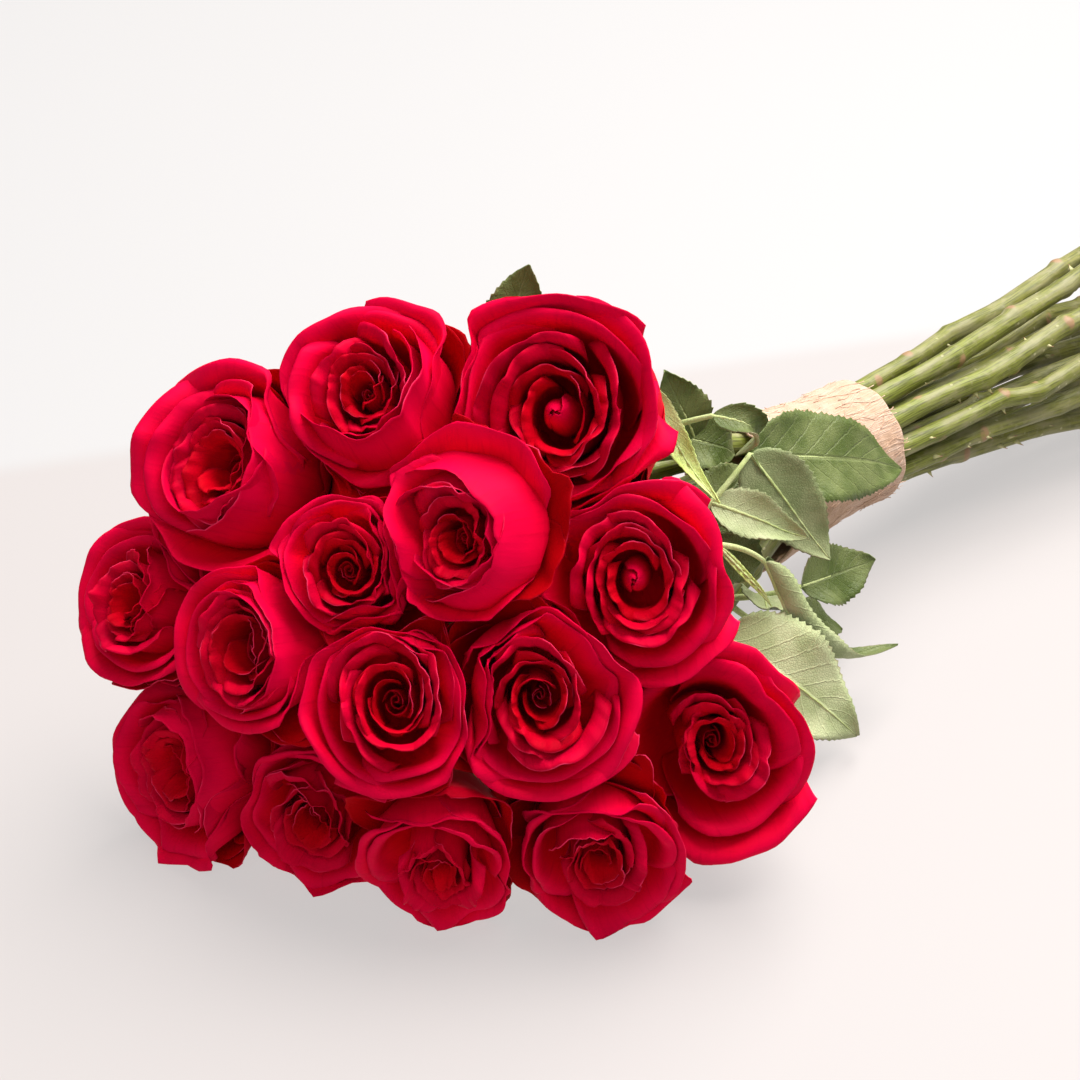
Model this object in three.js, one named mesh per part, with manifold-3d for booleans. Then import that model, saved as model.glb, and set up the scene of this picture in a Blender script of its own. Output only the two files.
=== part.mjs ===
// A bunch of fifteen long-stemmed red roses, wrapped once round the stems with a cuff of
// natural fibre and lying on its side. Millimetres, +Z up, the surface it lies on at Z = 0.
// The stems run along +X to their cut ends, and the heads look towards -X and -Y.
// Each rose is one bloom, with its petals in layers round a core, and one green stem that carries
// its hip, sepals and leaves. The cuff holds the fifteen stems together.
import * as THREE from "three";
import Module from "manifold-3d";

const wasm = await Module();
wasm.setup();

// ---- Driving dimensions -------------------------------------------------------------------

const CUFF = {
  height: 52, // of the cuff's axis above the surface
  length: 72,
  rim: 12, // the X of its tail rim
  wall: 2.4,
  fan: 5.5, // how much wider its head end is, in radius
  sides: 28,
};

const STEM = {
  neck: 2.9, // radii: under the hip, in the cuff and at the cut end
  cuff: 5.2,
  end: 5.6,
  sides: 8,
  spacing: 10.8, // between the centres of touching stems in the cuff
  bound: -18, // the X where the stems stop running side by side and part for their heads
  fan: 0.075, // how steeply the outer stems part there
  cut: 246, // the X of the longest cut end
  uneven: 9, // how much shorter the others are, at most
  spread: 2.3, // how many times wider the stems stand at their cut ends
  twist: -28, // degrees they turn round each other on the way there
};

const HIP = { radius: 5.4, length: 9 };

const SEPAL = {
  reach: 17, // how far its tip is from the head's axis
  back: 13, // and behind the head's base
  cleft: 4, // how far behind the base two sepals part
};

const HEAD = {
  deep: 0.45, // how much of its width a head is deep, and
  base: 22, // how much more every head is
  middle: 0.55, // where its widest part is, as a share of its depth
  cup: 0.31, // the radius of its cup over its whole width
};

const PRESS = {
  gap: 0.7, // between the petals of two heads that press on each other
  near: 0.7, // heads press on each other when they are this near, as a share of their widths
  soft: 0.82, // the share of the room beyond which a petal starts to bend
  layer: 2.6, // how much further in each inner layer is held
};

const PETAL_THICK = 0.9;
const LEAF_THICK = 0.9;
const SEAT_GAP = 0.35; // between a bloom and the hip that carries it
const FLOOR_WEAR = 0.3; // how much of a petal that lies on the surface is worn flat

// The fifteen heads. at: the middle of the face. turn and lift: where the face looks, in degrees from
// -X towards -Y and above the horizon. wide: across the outer petals. roll: turns the cup's petals
// round the head's own axis. outer: each outer petal's direction in the face, in degrees from the
// right, its reach, as a share of half the width, and for some its rim's height, as a share of the
// head's. slot: the stem's place in the cuff. neck: how far the stem runs on straight behind the hip,
// as a share of its way to the cuff.
const ROSES = [
  { id: "01", at: [-250, 0, 174], turn: 35, lift: 43, wide: 60, roll: 20, slot: ["outer", 1],
    outer: [[45, 1.25], [140, 0.9], [205, 0.9], [290, 1.35]] },
  { id: "02", at: [-205, -51, 169], turn: 42, lift: 33, wide: 80, roll: 112, slot: ["outer", 2],
    outer: [[20, 0.95], [100, 0.95], [185, 1.5], [275, 1.4]] },
  { id: "03", at: [-294, 33, 145], turn: 15, lift: 38, wide: 70, roll: 200, slot: ["outer", 0],
    outer: [[15, 1.5], [85, 1.15], [180, 0.8], [265, 1.2]] },
  { id: "04", at: [-259, -61, 144], turn: 30, lift: 28, wide: 62, roll: 310, slot: ["inner", 1],
    outer: [[5, 1.5], [112, 1.5], [195, 1.2], [280, 1.45]] },
  { id: "05", at: [-284, -34, 130], turn: 45, lift: 38, wide: 48, roll: 60, slot: ["inner", 0],
    outer: [[30, 1.5], [115, 1.4], [185, 1.5], [262, 1.7]] },
  { id: "06", at: [-210, -100, 126], turn: 47, lift: 30, wide: 69, roll: 150, slot: ["outer", 3],
    outer: [[15, 1], [95, 1.1], [190, 1.5], [275, 1.45]] },
  { id: "07", at: [-327, 48, 93], turn: 5, lift: 33, wide: 57, roll: 262, slot: ["outer", 9],
    outer: [[0, 1.5], [70, 1.3], [160, 0.95], [265, 1.3]] },
  { id: "08", at: [-320, -16, 103], turn: 20, lift: 28, wide: 52, roll: 340, slot: ["inner", 4],
    outer: [[10, 1.5], [90, 1.5], [180, 1.15], [270, 1.5]] },
  { id: "09", at: [-293, -70, 99], turn: 45, lift: 38, wide: 57, roll: 90, slot: ["inner", 3],
    outer: [[25, 1.5], [110, 1.5], [195, 1.5], [280, 1.5]] },
  { id: "10", at: [-254, -102, 97], turn: 50, lift: 28, wide: 63, roll: 180, slot: ["inner", 2],
    outer: [[0, 1.4], [75, 1.5], [150, 1.5], [275, 1.5]] },
  { id: "11", at: [-193, -128, 62], turn: 55, lift: 28, wide: 74, roll: 310, slot: ["outer", 4],
    outer: [[5, 1], [85, 1.25], [190, 1.5], [300, 1.25]] },
  { id: "12", at: [-336, 13.6, 38], turn: 10, lift: 17, wide: 66, roll: 10, neck: 0.32, slot: ["outer", 8],
    outer: [[0, 1.5], [70, 1.35], [180, 0.9], [272, 1.2, 0.95]] },
  { id: "13", at: [-309, -37, 28.5], turn: 35, lift: 3, wide: 54, roll: 110, slot: ["outer", 7],
    outer: [[5, 1.4], [65, 1.5], [175, 1.1], [275, 1.2, 1]] },
  { id: "14", at: [-292, -92, 29.5], turn: 45, lift: -12, wide: 52, roll: 210, slot: ["outer", 6],
    outer: [[0, 1.4], [80, 1.5], [175, 1.3], [270, 1.35, 1]] },
  { id: "15", at: [-247, -126, 33.5], turn: 50, lift: -2, wide: 56, roll: 350, slot: ["outer", 5], neck: 0.48,
    outer: [[0, 1.08], [75, 1.5], [135, 1.6], [270, 1.35, 1]] },
];

// The leaves. on and along: the rose whose stem carries it, and how far from its hip towards the cuff.
// stalk: where its stalk runs on from the stem. Each leaflet grows at the stalk's point with its number.
// tip: where its point is. face: where its blade looks. wide: its width. arch: how far it bows up.
const LEAVES = [
  { on: "06", along: 0.45, stalk: [[-112, -46, 98], [-92, -36, 97]],
    leaflets: [
      { at: 1, tip: [-2, -38, 61], face: [-0.3, -0.65, 0.7], wide: 38, arch: 4 },
      { at: 1, tip: [-64, -52, 44], face: [-0.6, -0.8, 0.2], wide: 27, arch: 4 },
      { at: 0, tip: [-83, -62, 76], face: [-0.2, -0.5, 0.8], wide: 18, arch: 4 },
    ] },
  { on: "06", along: 0.28, stalk: [[-126, -56, 84], [-108, -62, 72]],
    leaflets: [{ at: 1, tip: [-27, -74, 7], face: [-0.5, -0.2, 0.8], wide: 15, arch: -8 }] },
  { on: "11", along: 0.2, stalk: [[-138, -66, 42], [-131, -66, 50]],
    leaflets: [{ at: 1, tip: [-91, -109, 8], face: [0.1, -0.7, 0.7], wide: 44, arch: 5 }] },
  { on: "11", along: 0.5, stalk: [[-94, -43, 33], [-80, -44, 27]],
    leaflets: [{ at: 1, tip: [-31, -50, 24], face: [-0.2, -0.5, 0.8], wide: 28, arch: 5 }] },
  { on: "02", along: 0.36, stalk: [[-122, -20, 114], [-120, -30, 120]],
    leaflets: [{ at: 1, tip: [-94, -38, 108], face: [-0.2, -0.4, 0.9], wide: 21, arch: 8 }] },
  { on: "02", along: 0.1, stalk: [[-146, -20, 134], [-134, -24, 136]],
    leaflets: [{ at: 1, tip: [-124, -44, 96], face: [0.3, -0.5, 0.6], wide: 13, arch: 5 }] },
  { on: "02", along: 0.46, stalk: [[-106, 2, 100], [-104, 0, 104]],
    leaflets: [{ at: 1, tip: [-124, 4, 134], face: [0.2, -0.8, 0.3], wide: 24, arch: 3 }] },
  { on: "01", along: 0.14, stalk: [[-180, 34, 128], [-160, 34, 140]],
    leaflets: [{ at: 1, tip: [-147, 38, 172], face: [-0.4, -0.7, 0.3], wide: 24, arch: 3 }] },
  { on: "03", along: 0.34, stalk: [[-168, 56, 86], [-146, 66, 92]],
    leaflets: [
      { at: 1, tip: [-96, 88, 84], face: [-0.2, 0.4, 0.9], wide: 32, arch: 7 },
      { at: 0, tip: [-166, 100, 84], face: [0, 0.4, 0.9], wide: 26, arch: 5 },
      { at: 0, tip: [-128, 46, 108], face: [-0.3, 0.2, 0.9], wide: 24, arch: 5 },
    ] },
  { on: "07", along: 0.42, stalk: [[-166, 62, 38], [-144, 76, 38]],
    leaflets: [
      { at: 1, tip: [-92, 98, 26], face: [-0.1, 0.5, 0.9], wide: 34, arch: 8 },
      { at: 0, tip: [-176, 106, 28], face: [-0.1, 0.4, 0.9], wide: 27, arch: 6 },
    ] },
  { on: "12", along: 0.5, stalk: [[-138, 40, 14], [-120, 50, 13]],
    leaflets: [
      { at: 1, tip: [-64, 66, 5], face: [0, 0.3, 1], wide: 32, arch: 9 },
      { at: 0, tip: [-150, 84, 6], face: [0, 0.3, 1], wide: 25, arch: 7 },
    ] },
  { on: "15", along: 0.62, stalk: [[-92, -40, 26], [-80, -46, 18]],
    leaflets: [{ at: 1, tip: [-28, -68, 6], face: [-0.1, -0.3, 1], wide: 28, arch: 6 }] },
];

// The radii on which the axes of the five inner stems and of the ten outer ones stand.
const INNER_RING = STEM.spacing / (2 * Math.sin(Math.PI / 5));
const OUTER_RING = 1.773 * STEM.spacing;

// ---- Small helpers -------------------------------------------------------------------------

const vec = (x, y, z) => new THREE.Vector3(x, y, z);
const mix = (a, b, t) => a + (b - a) * t;
const ease = (t) => t * t * (3 - 2 * t);
const rad = THREE.MathUtils.degToRad;

// A closed mesh, given as points and triangles, as a solid.
function solidOf(points, triangles) {
  return new wasm.Manifold(
    new wasm.Mesh({
      numProp: 3,
      vertProperties: Float32Array.from(points.flatMap((p) => [p.x, p.y, p.z])),
      triVerts: Uint32Array.from(triangles.flat()),
    }),
  );
}

// Joins solids into one body. A hollow that the join seals is filled, and a loose scrap is dropped.
function fuse(solids) {
  const joined = wasm.Manifold.union(solids);
  const bodies = joined.decompose();
  return bodies.reduce((a, b) => (b.volume() > a.volume() ? b : a));
}

// A thin blade: a grid of points is its middle surface, and both faces are split into triangles alike.
function blade(grid, thick) {
  const rows = grid.length;
  const cols = grid[0].length;
  const points = [];
  for (const side of [0.5, -0.5]) {
    grid.forEach((row, i) =>
      row.forEach((p, j) => {
        const along = grid[Math.min(i + 1, rows - 1)][j].clone().sub(grid[Math.max(i - 1, 0)][j]);
        const across = row[Math.min(j + 1, cols - 1)].clone().sub(row[Math.max(j - 1, 0)]);
        points.push(p.clone().addScaledVector(across.cross(along).normalize(), side * thick));
      }),
    );
  }
  const back = rows * cols;
  const at = (i, j) => i * cols + j;
  const triangles = [];
  for (let i = 0; i + 1 < rows; i++) {
    for (let j = 0; j + 1 < cols; j++) {
      const [a, b, c, d] = [at(i, j), at(i, j + 1), at(i + 1, j + 1), at(i + 1, j)];
      triangles.push([a, b, c], [a, c, d], [back + a, back + c, back + b], [back + a, back + d, back + c]);
    }
  }
  const rim = [];
  const [lastRow, lastCol] = [rows - 1, cols - 1];
  for (let j = 0; j < lastCol; j++) rim.push([at(0, j + 1), at(0, j)], [at(lastRow, j), at(lastRow, j + 1)]);
  for (let i = 0; i < lastRow; i++) rim.push([at(i, 0), at(i + 1, 0)], [at(i + 1, lastCol), at(i, lastCol)]);
  for (const [a, b] of rim) triangles.push([a, b, back + b], [a, back + b, back + a]);
  return solidOf(points, triangles);
}

// A closed skin through rings of points, all counted the same way round, with a point at each end.
// A blade's inner face comes after its outer face, top to bottom. inner: the strips, by number, that are
// split the other way for that, so that a blade's two faces have their triangles alike.
function ringSkin(rings, first, last, inner = []) {
  const around = rings[0].length;
  const points = [...rings.flat(), first, last];
  const end = points.length - 1;
  const triangles = [];
  for (let k = 0; k < around; k++) {
    const next = (k + 1) % around;
    for (let strip = 0; strip + 1 < rings.length; strip++) {
      const low = strip * around;
      const [a, b, c, d] = [low + k, low + next, low + around + next, low + around + k];
      if (inner.includes(strip)) triangles.push([a, b, d], [b, c, d]);
      else triangles.push([a, b, c], [a, c, d]);
    }
    triangles.push([end - 1, next, k], [end, end - 1 - around + k, end - 1 - around + next]);
  }
  return solidOf(points, triangles);
}

// A round rod through stations of { at, radius }, with flat ends.
function rod(stations, sides) {
  const rings = stations.map(({ at, radius }, i) => {
    const ahead = stations[Math.min(i + 1, stations.length - 1)].at;
    const behind = stations[Math.max(i - 1, 0)].at;
    const tangent = ahead.clone().sub(behind).normalize();
    const level = tangent.clone().cross(vec(0, 0, 1)).normalize();
    const upright = tangent.clone().cross(level);
    return Array.from({ length: sides }, (_, k) => {
      const turn = (2 * Math.PI * k) / sides - Math.PI / 2;
      const across = level.clone().multiplyScalar(Math.cos(turn)).addScaledVector(upright, Math.sin(turn));
      return at.clone().addScaledVector(across, radius);
    });
  });
  return ringSkin(rings, stations[0].at, stations.at(-1).at);
}

// ---- Blooms --------------------------------------------------------------------------------

// A head's own frame: its base, where the hip meets it, its axis, and right and up across its face.
function headFrame(rose) {
  const [turn, lift] = [rad(rose.turn), rad(rose.lift)];
  const axis = vec(-Math.cos(lift) * Math.cos(turn), -Math.cos(lift) * Math.sin(turn), Math.sin(lift));
  const right = vec(Math.sin(turn), -Math.cos(turn), 0);
  const up = axis.clone().cross(right);
  const height = HEAD.deep * rose.wide + HEAD.base;
  const base = vec(...rose.at).addScaledVector(axis, -height);
  const middle = base.clone().addScaledVector(axis, HEAD.middle * height);
  return { axis, right, up, height, base, middle };
}

// Heads that touch share the room between them at a flat wall, set by their widths. A wall has its
// point, its outward direction and how far out it is. inset: how much nearer the walls stand for an
// inner layer, which the outer petals are pressed on.
function pressWalls(rose, inset) {
  const own = headFrame(rose).middle;
  const walls = [];
  for (const other of ROSES) {
    const gap = headFrame(other).middle.sub(own);
    const distance = gap.length();
    if (other === rose || distance > PRESS.near * (rose.wide + other.wide)) continue;
    const share = rose.wide / (rose.wide + other.wide);
    const room = distance * share - (PRESS.gap + PETAL_THICK) / 2 - inset;
    walls.push({ from: own, towards: gap.normalize(), room });
  }
  return walls;
}

// A petal that would cross a wall is bent along it: the nearer it comes, the less it gets on. One that
// would go through the surface below lies on it, and is worn a little flat there.
function pressed(point, walls) {
  const moved = point.clone();
  for (let pass = 0; pass < 3; pass++) {
    for (const { from, towards, room } of walls) {
      const reach = moved.clone().sub(from).dot(towards);
      const soft = PRESS.soft * room;
      if (reach <= soft) continue;
      const kept = soft + (room - soft) * (1 - Math.exp((soft - reach) / (room - soft)));
      moved.addScaledVector(towards, kept - reach);
    }
  }
  moved.z = Math.max(moved.z, PETAL_THICK / 2 - FLOOR_WEAR);
  return moved;
}

// How far out of a head's axis, at its rim and in one direction, the nearest wall stands.
function roomTowards(frame, walls, turn) {
  const high = 0.85 * frame.height;
  const middle = onHead(frame, 0, high, 0);
  const outwards = onHead(frame, 1, high, turn).sub(middle);
  const rooms = walls.map(({ from, towards, room }) => {
    const facing = outwards.dot(towards);
    return facing > 0.2 ? (room - middle.clone().sub(from).dot(towards)) / facing : Infinity;
  });
  return Math.min(...rooms);
}

// A petal is a direction round the head's axis and a midrib, a Bezier curve through points of
// [distance from the axis, height above the base]. The outer petals swell out round the cup and
// roll back.
function outerPetals(rose, height) {
  return rose.outer.map(([direction, reach, rise], k) => {
    const waist = HEAD.cup * rose.wide + (k % 2 ? 2.2 : 3.4);
    const midrib = [
      [HIP.radius, 0.02 * height],
      [1.35 * waist, -0.02 * height],
      [1.06 * waist, 1.02 * height],
      [(reach * rose.wide) / 2, (rise ?? rimShare(reach)) * height],
    ];
    return { turn: rad(direction), midrib };
  });
}

// The wider an outer petal reaches, the lower its rim rolls.
const rimShare = (reach) => mix(1, 0.78, THREE.MathUtils.smoothstep(reach, 0.7, 1.25));

// Each column of an outer petal reaches only as far as there is room, and stands higher for that.
function roomyColumn(column, rose, frame, walls) {
  const [out, high] = column.midrib[3];
  const room = Math.max(1.04 * roomTowards(frame, walls, column.turn), column.midrib[2][0]);
  if (out < room) return column;
  const rim = [room, Math.max(high, rimShare((2 * room) / rose.wide) * frame.height)];
  return { ...column, midrib: [...column.midrib.slice(0, 3), rim] };
}

// The cup's petals stand in layers of four, each behind the gaps of the layer before. share: the
// layer's radius over the cup's. Only the rims of these petals show.
function cupPetals(rose, height, share, layer) {
  const out = share * HEAD.cup * rose.wide;
  return Array.from({ length: 4 }, (_, k) => ({
    turn: rad(rose.roll + 90 * k + 52 * layer + 9 * Math.sin(5 * k + 3 * layer)),
    midrib: [
      [0, 0],
      [1.35 * out, 0],
      [1.1 * out, 0.62 * height],
      [0.97 * out, mix(0.82, 1, share) * height],
    ],
  }));
}

// The columns of points round one layer, four to a petal: its left edge, where its rim dips, its left
// shoulder, its midrib and its right shoulder. slip: a petal's left side tucks in and its right side
// lies out. The list starts at the column that is nearest to the angle start.
function columnsOf(petals, start) {
  const count = petals.length;
  const columns = petals.flatMap(({ turn, midrib }, k) => {
    const before = petals[(k + count - 1) % count];
    const after = petals[(k + 1) % count];
    const left = -THREE.MathUtils.euclideanModulo(turn - before.turn, 2 * Math.PI) / 2;
    const right = THREE.MathUtils.euclideanModulo(after.turn - turn, 2 * Math.PI) / 2;
    const shared = midrib.map(([out, high], i) => [
      (out + before.midrib[i][0]) / 2,
      (high + before.midrib[i][1]) / 2,
    ]);
    return [
      { turn: turn + left, midrib: shared, drop: 0.1, slip: 0 },
      { turn: turn + 0.6 * left, midrib, drop: 0.02, slip: -0.8 },
      { turn, midrib, drop: 0, slip: 0 },
      { turn: turn + 0.6 * right, midrib, drop: 0.02, slip: 0.8 },
    ];
  });
  const gaps = columns.map(({ turn }) => 1 - Math.cos(turn - start));
  const first = gaps.indexOf(Math.min(...gaps));
  return [...columns.slice(first), ...columns.slice(0, first)];
}

// The middle of a petal's blade in one column, at t of its length, before it is pressed.
function columnPoint(column, frame, t) {
  const s = t * (1 - column.drop * t);
  const weights = [(1 - s) ** 3, 3 * (1 - s) ** 2 * s, 3 * (1 - s) * s ** 2, s ** 3];
  const [out, high] = [0, 1].map((i) => weights.reduce((sum, w, n) => sum + w * column.midrib[n][i], 0));
  return onHead(frame, out + column.slip * t, high, column.turn);
}

const onHead = (frame, out, high, turn) =>
  frame.base
    .clone()
    .addScaledVector(frame.axis, high)
    .addScaledVector(frame.right, out * Math.cos(turn))
    .addScaledVector(frame.up, out * Math.sin(turn));

// A layer's two faces, as rings of points round the head: its columns at each t, pressed, and set off
// to both sides of the blade.
function layerFaces(columns, frame, walls, shares) {
  const middle = shares.map((t) => columns.map((column) => pressed(columnPoint(column, frame, t), walls)));
  return [0.5, -0.5].map((side) =>
    middle.map((ring, i) =>
      ring.map((point, k) => {
        const ahead = middle[Math.min(i + 1, shares.length - 1)][k];
        const along = ahead.clone().sub(middle[Math.max(i - 1, 0)][k]);
        const across = ring[(k + 1) % ring.length].clone().sub(ring.at(k - 1));
        return point.clone().addScaledVector(across.cross(along).normalize(), side * PETAL_THICK);
      }),
    ),
  );
}

// A head is one closed skin: rings of points go up the outer petals, over their rim, down to the
// crease behind them, up the next layer, and so on to the hollow in its heart.
function bloomSolid(rose) {
  const frame = headFrame(rose);
  const { height } = frame;
  const walls = pressWalls(rose, 0);
  const outer = columnsOf(outerPetals(rose, height), 0).map((column) =>
    roomyColumn(column, rose, frame, walls),
  );
  const [front, back] = layerFaces(outer, frame, walls, [0, 0.28, 0.52, 0.78, 1]);
  const rings = [...front, back[4], back[3]];
  const layers = [1, 0.7, 0.42];
  layers.forEach((share, layer) => {
    const columns = columnsOf(cupPetals(rose, height, share, layer), outer[0].turn);
    const inner = pressWalls(rose, PRESS.layer * (layer + 1));
    const [outside, inside] = layerFaces(columns, frame, inner, [0.7, 1]);
    const out = ((share + (layers[layer - 1] ?? 1.14)) / 2) * HEAD.cup * rose.wide;
    const high = mix(0.66, 0.5, share) * height;
    rings.push(
      columns.map(({ turn }) => pressed(onHead(frame, out, high, turn), inner)),
      outside[1],
      inside[1],
    );
  });
  const heart = onHead(frame, 0, 0.7 * height, 0);
  return ringSkin(rings, frame.base, heart, [5, 6, 9, 12]).trimByPlane([0, 0, 1], 0);
}

// ---- Stems ---------------------------------------------------------------------------------

// A stem's place in the cuff, across X: five stems in the middle, and two outer ones beside each.
function placeOf(rose) {
  const [ring, slot] = rose.slot;
  return ring === "inner"
    ? { radius: INNER_RING, turn: rad(46 + 72 * slot) }
    : { radius: OUTER_RING, turn: rad(28 + 36 * slot) };
}

// Behind the cuff the stems stand further apart and turn round each other, down to the surface.
function tailPoint(rose, share) {
  const { radius, turn } = placeOf(rose);
  const wider = mix(1, STEM.spread, Math.pow(share, 1.15));
  const around = turn + rad(STEM.twist) * share;
  const low = OUTER_RING * STEM.spread * Math.cos(rad(18)) + STEM.end; // two stems lie on the surface
  return vec(
    mix(CUFF.rim, STEM.cut, share),
    radius * wider * Math.cos(around),
    mix(CUFF.height, low, share) + radius * wider * Math.sin(around),
  );
}

// In front of it the stem runs in one easy curve to the hip, which looks along the head.
function headCurve(rose) {
  const { axis, base } = headFrame(rose);
  const foot = base.clone().addScaledVector(axis, -SEAT_GAP);
  const { radius, turn } = placeOf(rose);
  const bound = vec(STEM.bound, radius * Math.cos(turn), CUFF.height + radius * Math.sin(turn));
  const reach = foot.distanceTo(bound);
  const fan = (STEM.fan * radius) / OUTER_RING;
  return new THREE.CubicBezierCurve3(
    foot,
    foot.clone().addScaledVector(axis, -(rose.neck ?? 0.36) * reach),
    bound.clone().add(vec(-1, fan * Math.cos(turn), fan * Math.sin(turn)).multiplyScalar(0.45 * reach)),
    bound,
  );
}

function stemStations(rose) {
  const curve = headCurve(rose);
  const hip = HIP.length / curve.getLength();
  const stations = [
    { at: curve.getPointAt(0), radius: HIP.radius * 0.86 },
    { at: curve.getPointAt(hip * 0.4), radius: HIP.radius },
    { at: curve.getPointAt(hip), radius: STEM.neck },
  ];
  for (const share of [0.16, 0.32, 0.5, 0.68, 0.84, 1]) {
    stations.push({ at: curve.getPointAt(share), radius: mix(STEM.neck, STEM.cuff, share) });
  }
  for (const share of [0, 0.35, 0.7, 1]) {
    stations.push({ at: tailPoint(rose, share), radius: mix(STEM.cuff, STEM.end, share) });
  }
  stations.at(-1).at.x -= STEM.uneven * Math.abs(Math.sin(7 * Number(rose.id)));
  return stations;
}

// The five sepals, bent back along the stem: a five-pointed star round the hip.
function sepalStar(rose) {
  const frame = headFrame(rose);
  const star = Array.from({ length: 10 }, (_, k) => {
    const [out, back] = k % 2 ? [HIP.radius + 0.6, SEPAL.cleft] : [SEPAL.reach, SEPAL.back];
    return onHead(frame, out, -back, rad(rose.roll + 36 * k));
  });
  return ringSkin([star], onHead(frame, 0, -HIP.length - 5, 0), onHead(frame, 0, -SEAT_GAP, 0));
}

// ---- Leaves --------------------------------------------------------------------------------

// The outline of a leaflet with toothed edges: [share of its length, share of half its width].
const TEETH = [
  [0, 0.1],
  [0.2, 0.78],
  [0.24, 0.7],
  [0.48, 1],
  [0.52, 0.88],
  [0.76, 0.66],
  [0.8, 0.54],
  [1, 0.03],
];

// One leaflet from its foot to its tip: bowed up along its midrib, and folded up a little on both sides.
function leafletBlade(foot, { tip, face, wide, arch }) {
  const along = vec(...tip).sub(foot);
  const across = along.clone().cross(vec(...face)).normalize();
  const normal = across.clone().cross(along).normalize();
  const grid = TEETH.map(([share, half]) =>
    [-1, 0, 1].map((side) =>
      foot
        .clone()
        .addScaledVector(along, share)
        .addScaledVector(across, (side * half * wide) / 2)
        .addScaledVector(normal, arch * Math.sin(Math.PI * share) + 0.1 * wide * half * Math.abs(side)),
    ),
  );
  return blade(grid, LEAF_THICK);
}

// A leaf: its stalk leaves the stem and carries its leaflets.
function leafSolids({ along, stalk, leaflets }, curve) {
  const path = [curve.getPointAt(along), ...stalk.map((p) => vec(...p))];
  const stations = path.map((at, i) => ({ at, radius: mix(1.5, 1, i / (path.length - 1)) }));
  return [rod(stations, 4), ...leaflets.map((one) => leafletBlade(path[one.at + 1], one))];
}

function stemSolid(rose) {
  const curve = headCurve(rose);
  const leaves = LEAVES.filter((leaf) => leaf.on === rose.id).flatMap((leaf) => leafSolids(leaf, curve));
  return fuse([rod(stemStations(rose), STEM.sides), sepalStar(rose), ...leaves]);
}

// ---- Cuff ----------------------------------------------------------------------------------

// The cuff is a tapered tube of stiff natural fibre, wider towards the heads, round all the stems.
function cuffMesh() {
  const inside = (OUTER_RING + STEM.cuff + SEAT_GAP) / Math.cos(Math.PI / CUFF.sides);
  const parallel = CUFF.rim - STEM.bound;
  const profile = [
    [inside, 0],
    [inside + CUFF.wall, 0],
    [inside + CUFF.wall, parallel],
    [inside + CUFF.wall + CUFF.fan, CUFF.length],
    [inside + CUFF.fan, CUFF.length],
    [inside, parallel],
    [inside, 0],
  ].map(([r, y]) => new THREE.Vector2(r, y));
  const shell = new THREE.LatheGeometry(profile, CUFF.sides);
  const mesh = new THREE.Mesh(shell, new THREE.MeshStandardMaterial(fibreBeige));
  mesh.name = "cuff";
  mesh.rotation.z = Math.PI / 2;
  mesh.position.set(CUFF.rim, 0, CUFF.height);
  return mesh;
}

// ---- The bunch -----------------------------------------------------------------------------

const petalRed = { color: 0xb80f2e, roughness: 0.75, metalness: 0 };
const stemGreen = { color: 0x6f8f3c, roughness: 0.6, metalness: 0 };
const fibreBeige = { color: 0xe0bf98, roughness: 0.9, metalness: 0 };

function meshOf(solid, name, look) {
  const { vertProperties, triVerts } = solid.getMesh();
  const geometry = new THREE.BufferGeometry();
  geometry.setAttribute("position", new THREE.BufferAttribute(vertProperties, 3));
  geometry.setIndex(new THREE.BufferAttribute(triVerts, 1));
  const mesh = new THREE.Mesh(geometry, new THREE.MeshStandardMaterial(look));
  mesh.name = name;
  return mesh;
}

const bunch = new THREE.Group();
for (const rose of ROSES) {
  bunch.add(meshOf(bloomSolid(rose), `bloom_${rose.id}`, petalRed));
  bunch.add(meshOf(stemSolid(rose), `stem_${rose.id}`, stemGreen));
}
bunch.add(cuffMesh());

// The origin is under the middle of the whole bunch, on the surface that it lies on.
const middle = new THREE.Box3().setFromObject(bunch, true).getCenter(vec(0, 0, 0));
bunch.position.set(-middle.x, -middle.y, 0);

export default bunch;
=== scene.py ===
import math

import bpy
import numpy as np
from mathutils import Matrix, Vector


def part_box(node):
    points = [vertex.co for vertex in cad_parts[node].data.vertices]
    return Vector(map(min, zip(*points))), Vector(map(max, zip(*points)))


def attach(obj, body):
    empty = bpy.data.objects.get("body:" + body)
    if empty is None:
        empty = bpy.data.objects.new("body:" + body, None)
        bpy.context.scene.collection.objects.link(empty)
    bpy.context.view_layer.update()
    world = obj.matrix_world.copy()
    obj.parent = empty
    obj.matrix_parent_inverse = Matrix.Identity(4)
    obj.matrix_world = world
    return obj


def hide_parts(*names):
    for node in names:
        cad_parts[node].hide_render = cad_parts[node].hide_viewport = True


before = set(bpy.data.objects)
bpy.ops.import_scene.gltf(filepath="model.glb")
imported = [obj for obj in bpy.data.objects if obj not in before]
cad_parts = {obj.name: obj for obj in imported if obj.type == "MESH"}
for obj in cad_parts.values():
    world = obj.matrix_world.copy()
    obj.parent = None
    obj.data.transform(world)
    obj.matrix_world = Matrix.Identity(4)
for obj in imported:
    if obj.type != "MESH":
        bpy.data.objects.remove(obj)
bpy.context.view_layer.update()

# ---- Camera --------------------------------------------------------------------------------
# It looks down on the heads from their side, with a long lens. The whole bunch is measured in
# millimetres from a point on the floor, 12 mm nearer to the heads than the cuff's tail rim.
CUFF_RIM, CUFF_LENGTH, CUFF_HEIGHT = 12.0, 72.0, 52.0
START = np.mean(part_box("cuff"), axis=0) * 1000 - [CUFF_RIM - CUFF_LENGTH / 2, 0, CUFF_HEIGHT]
EYE = np.array([-664.5, -591.1, 577.3])
LOOK = Vector((0.539, 0.642, -0.545))

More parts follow.
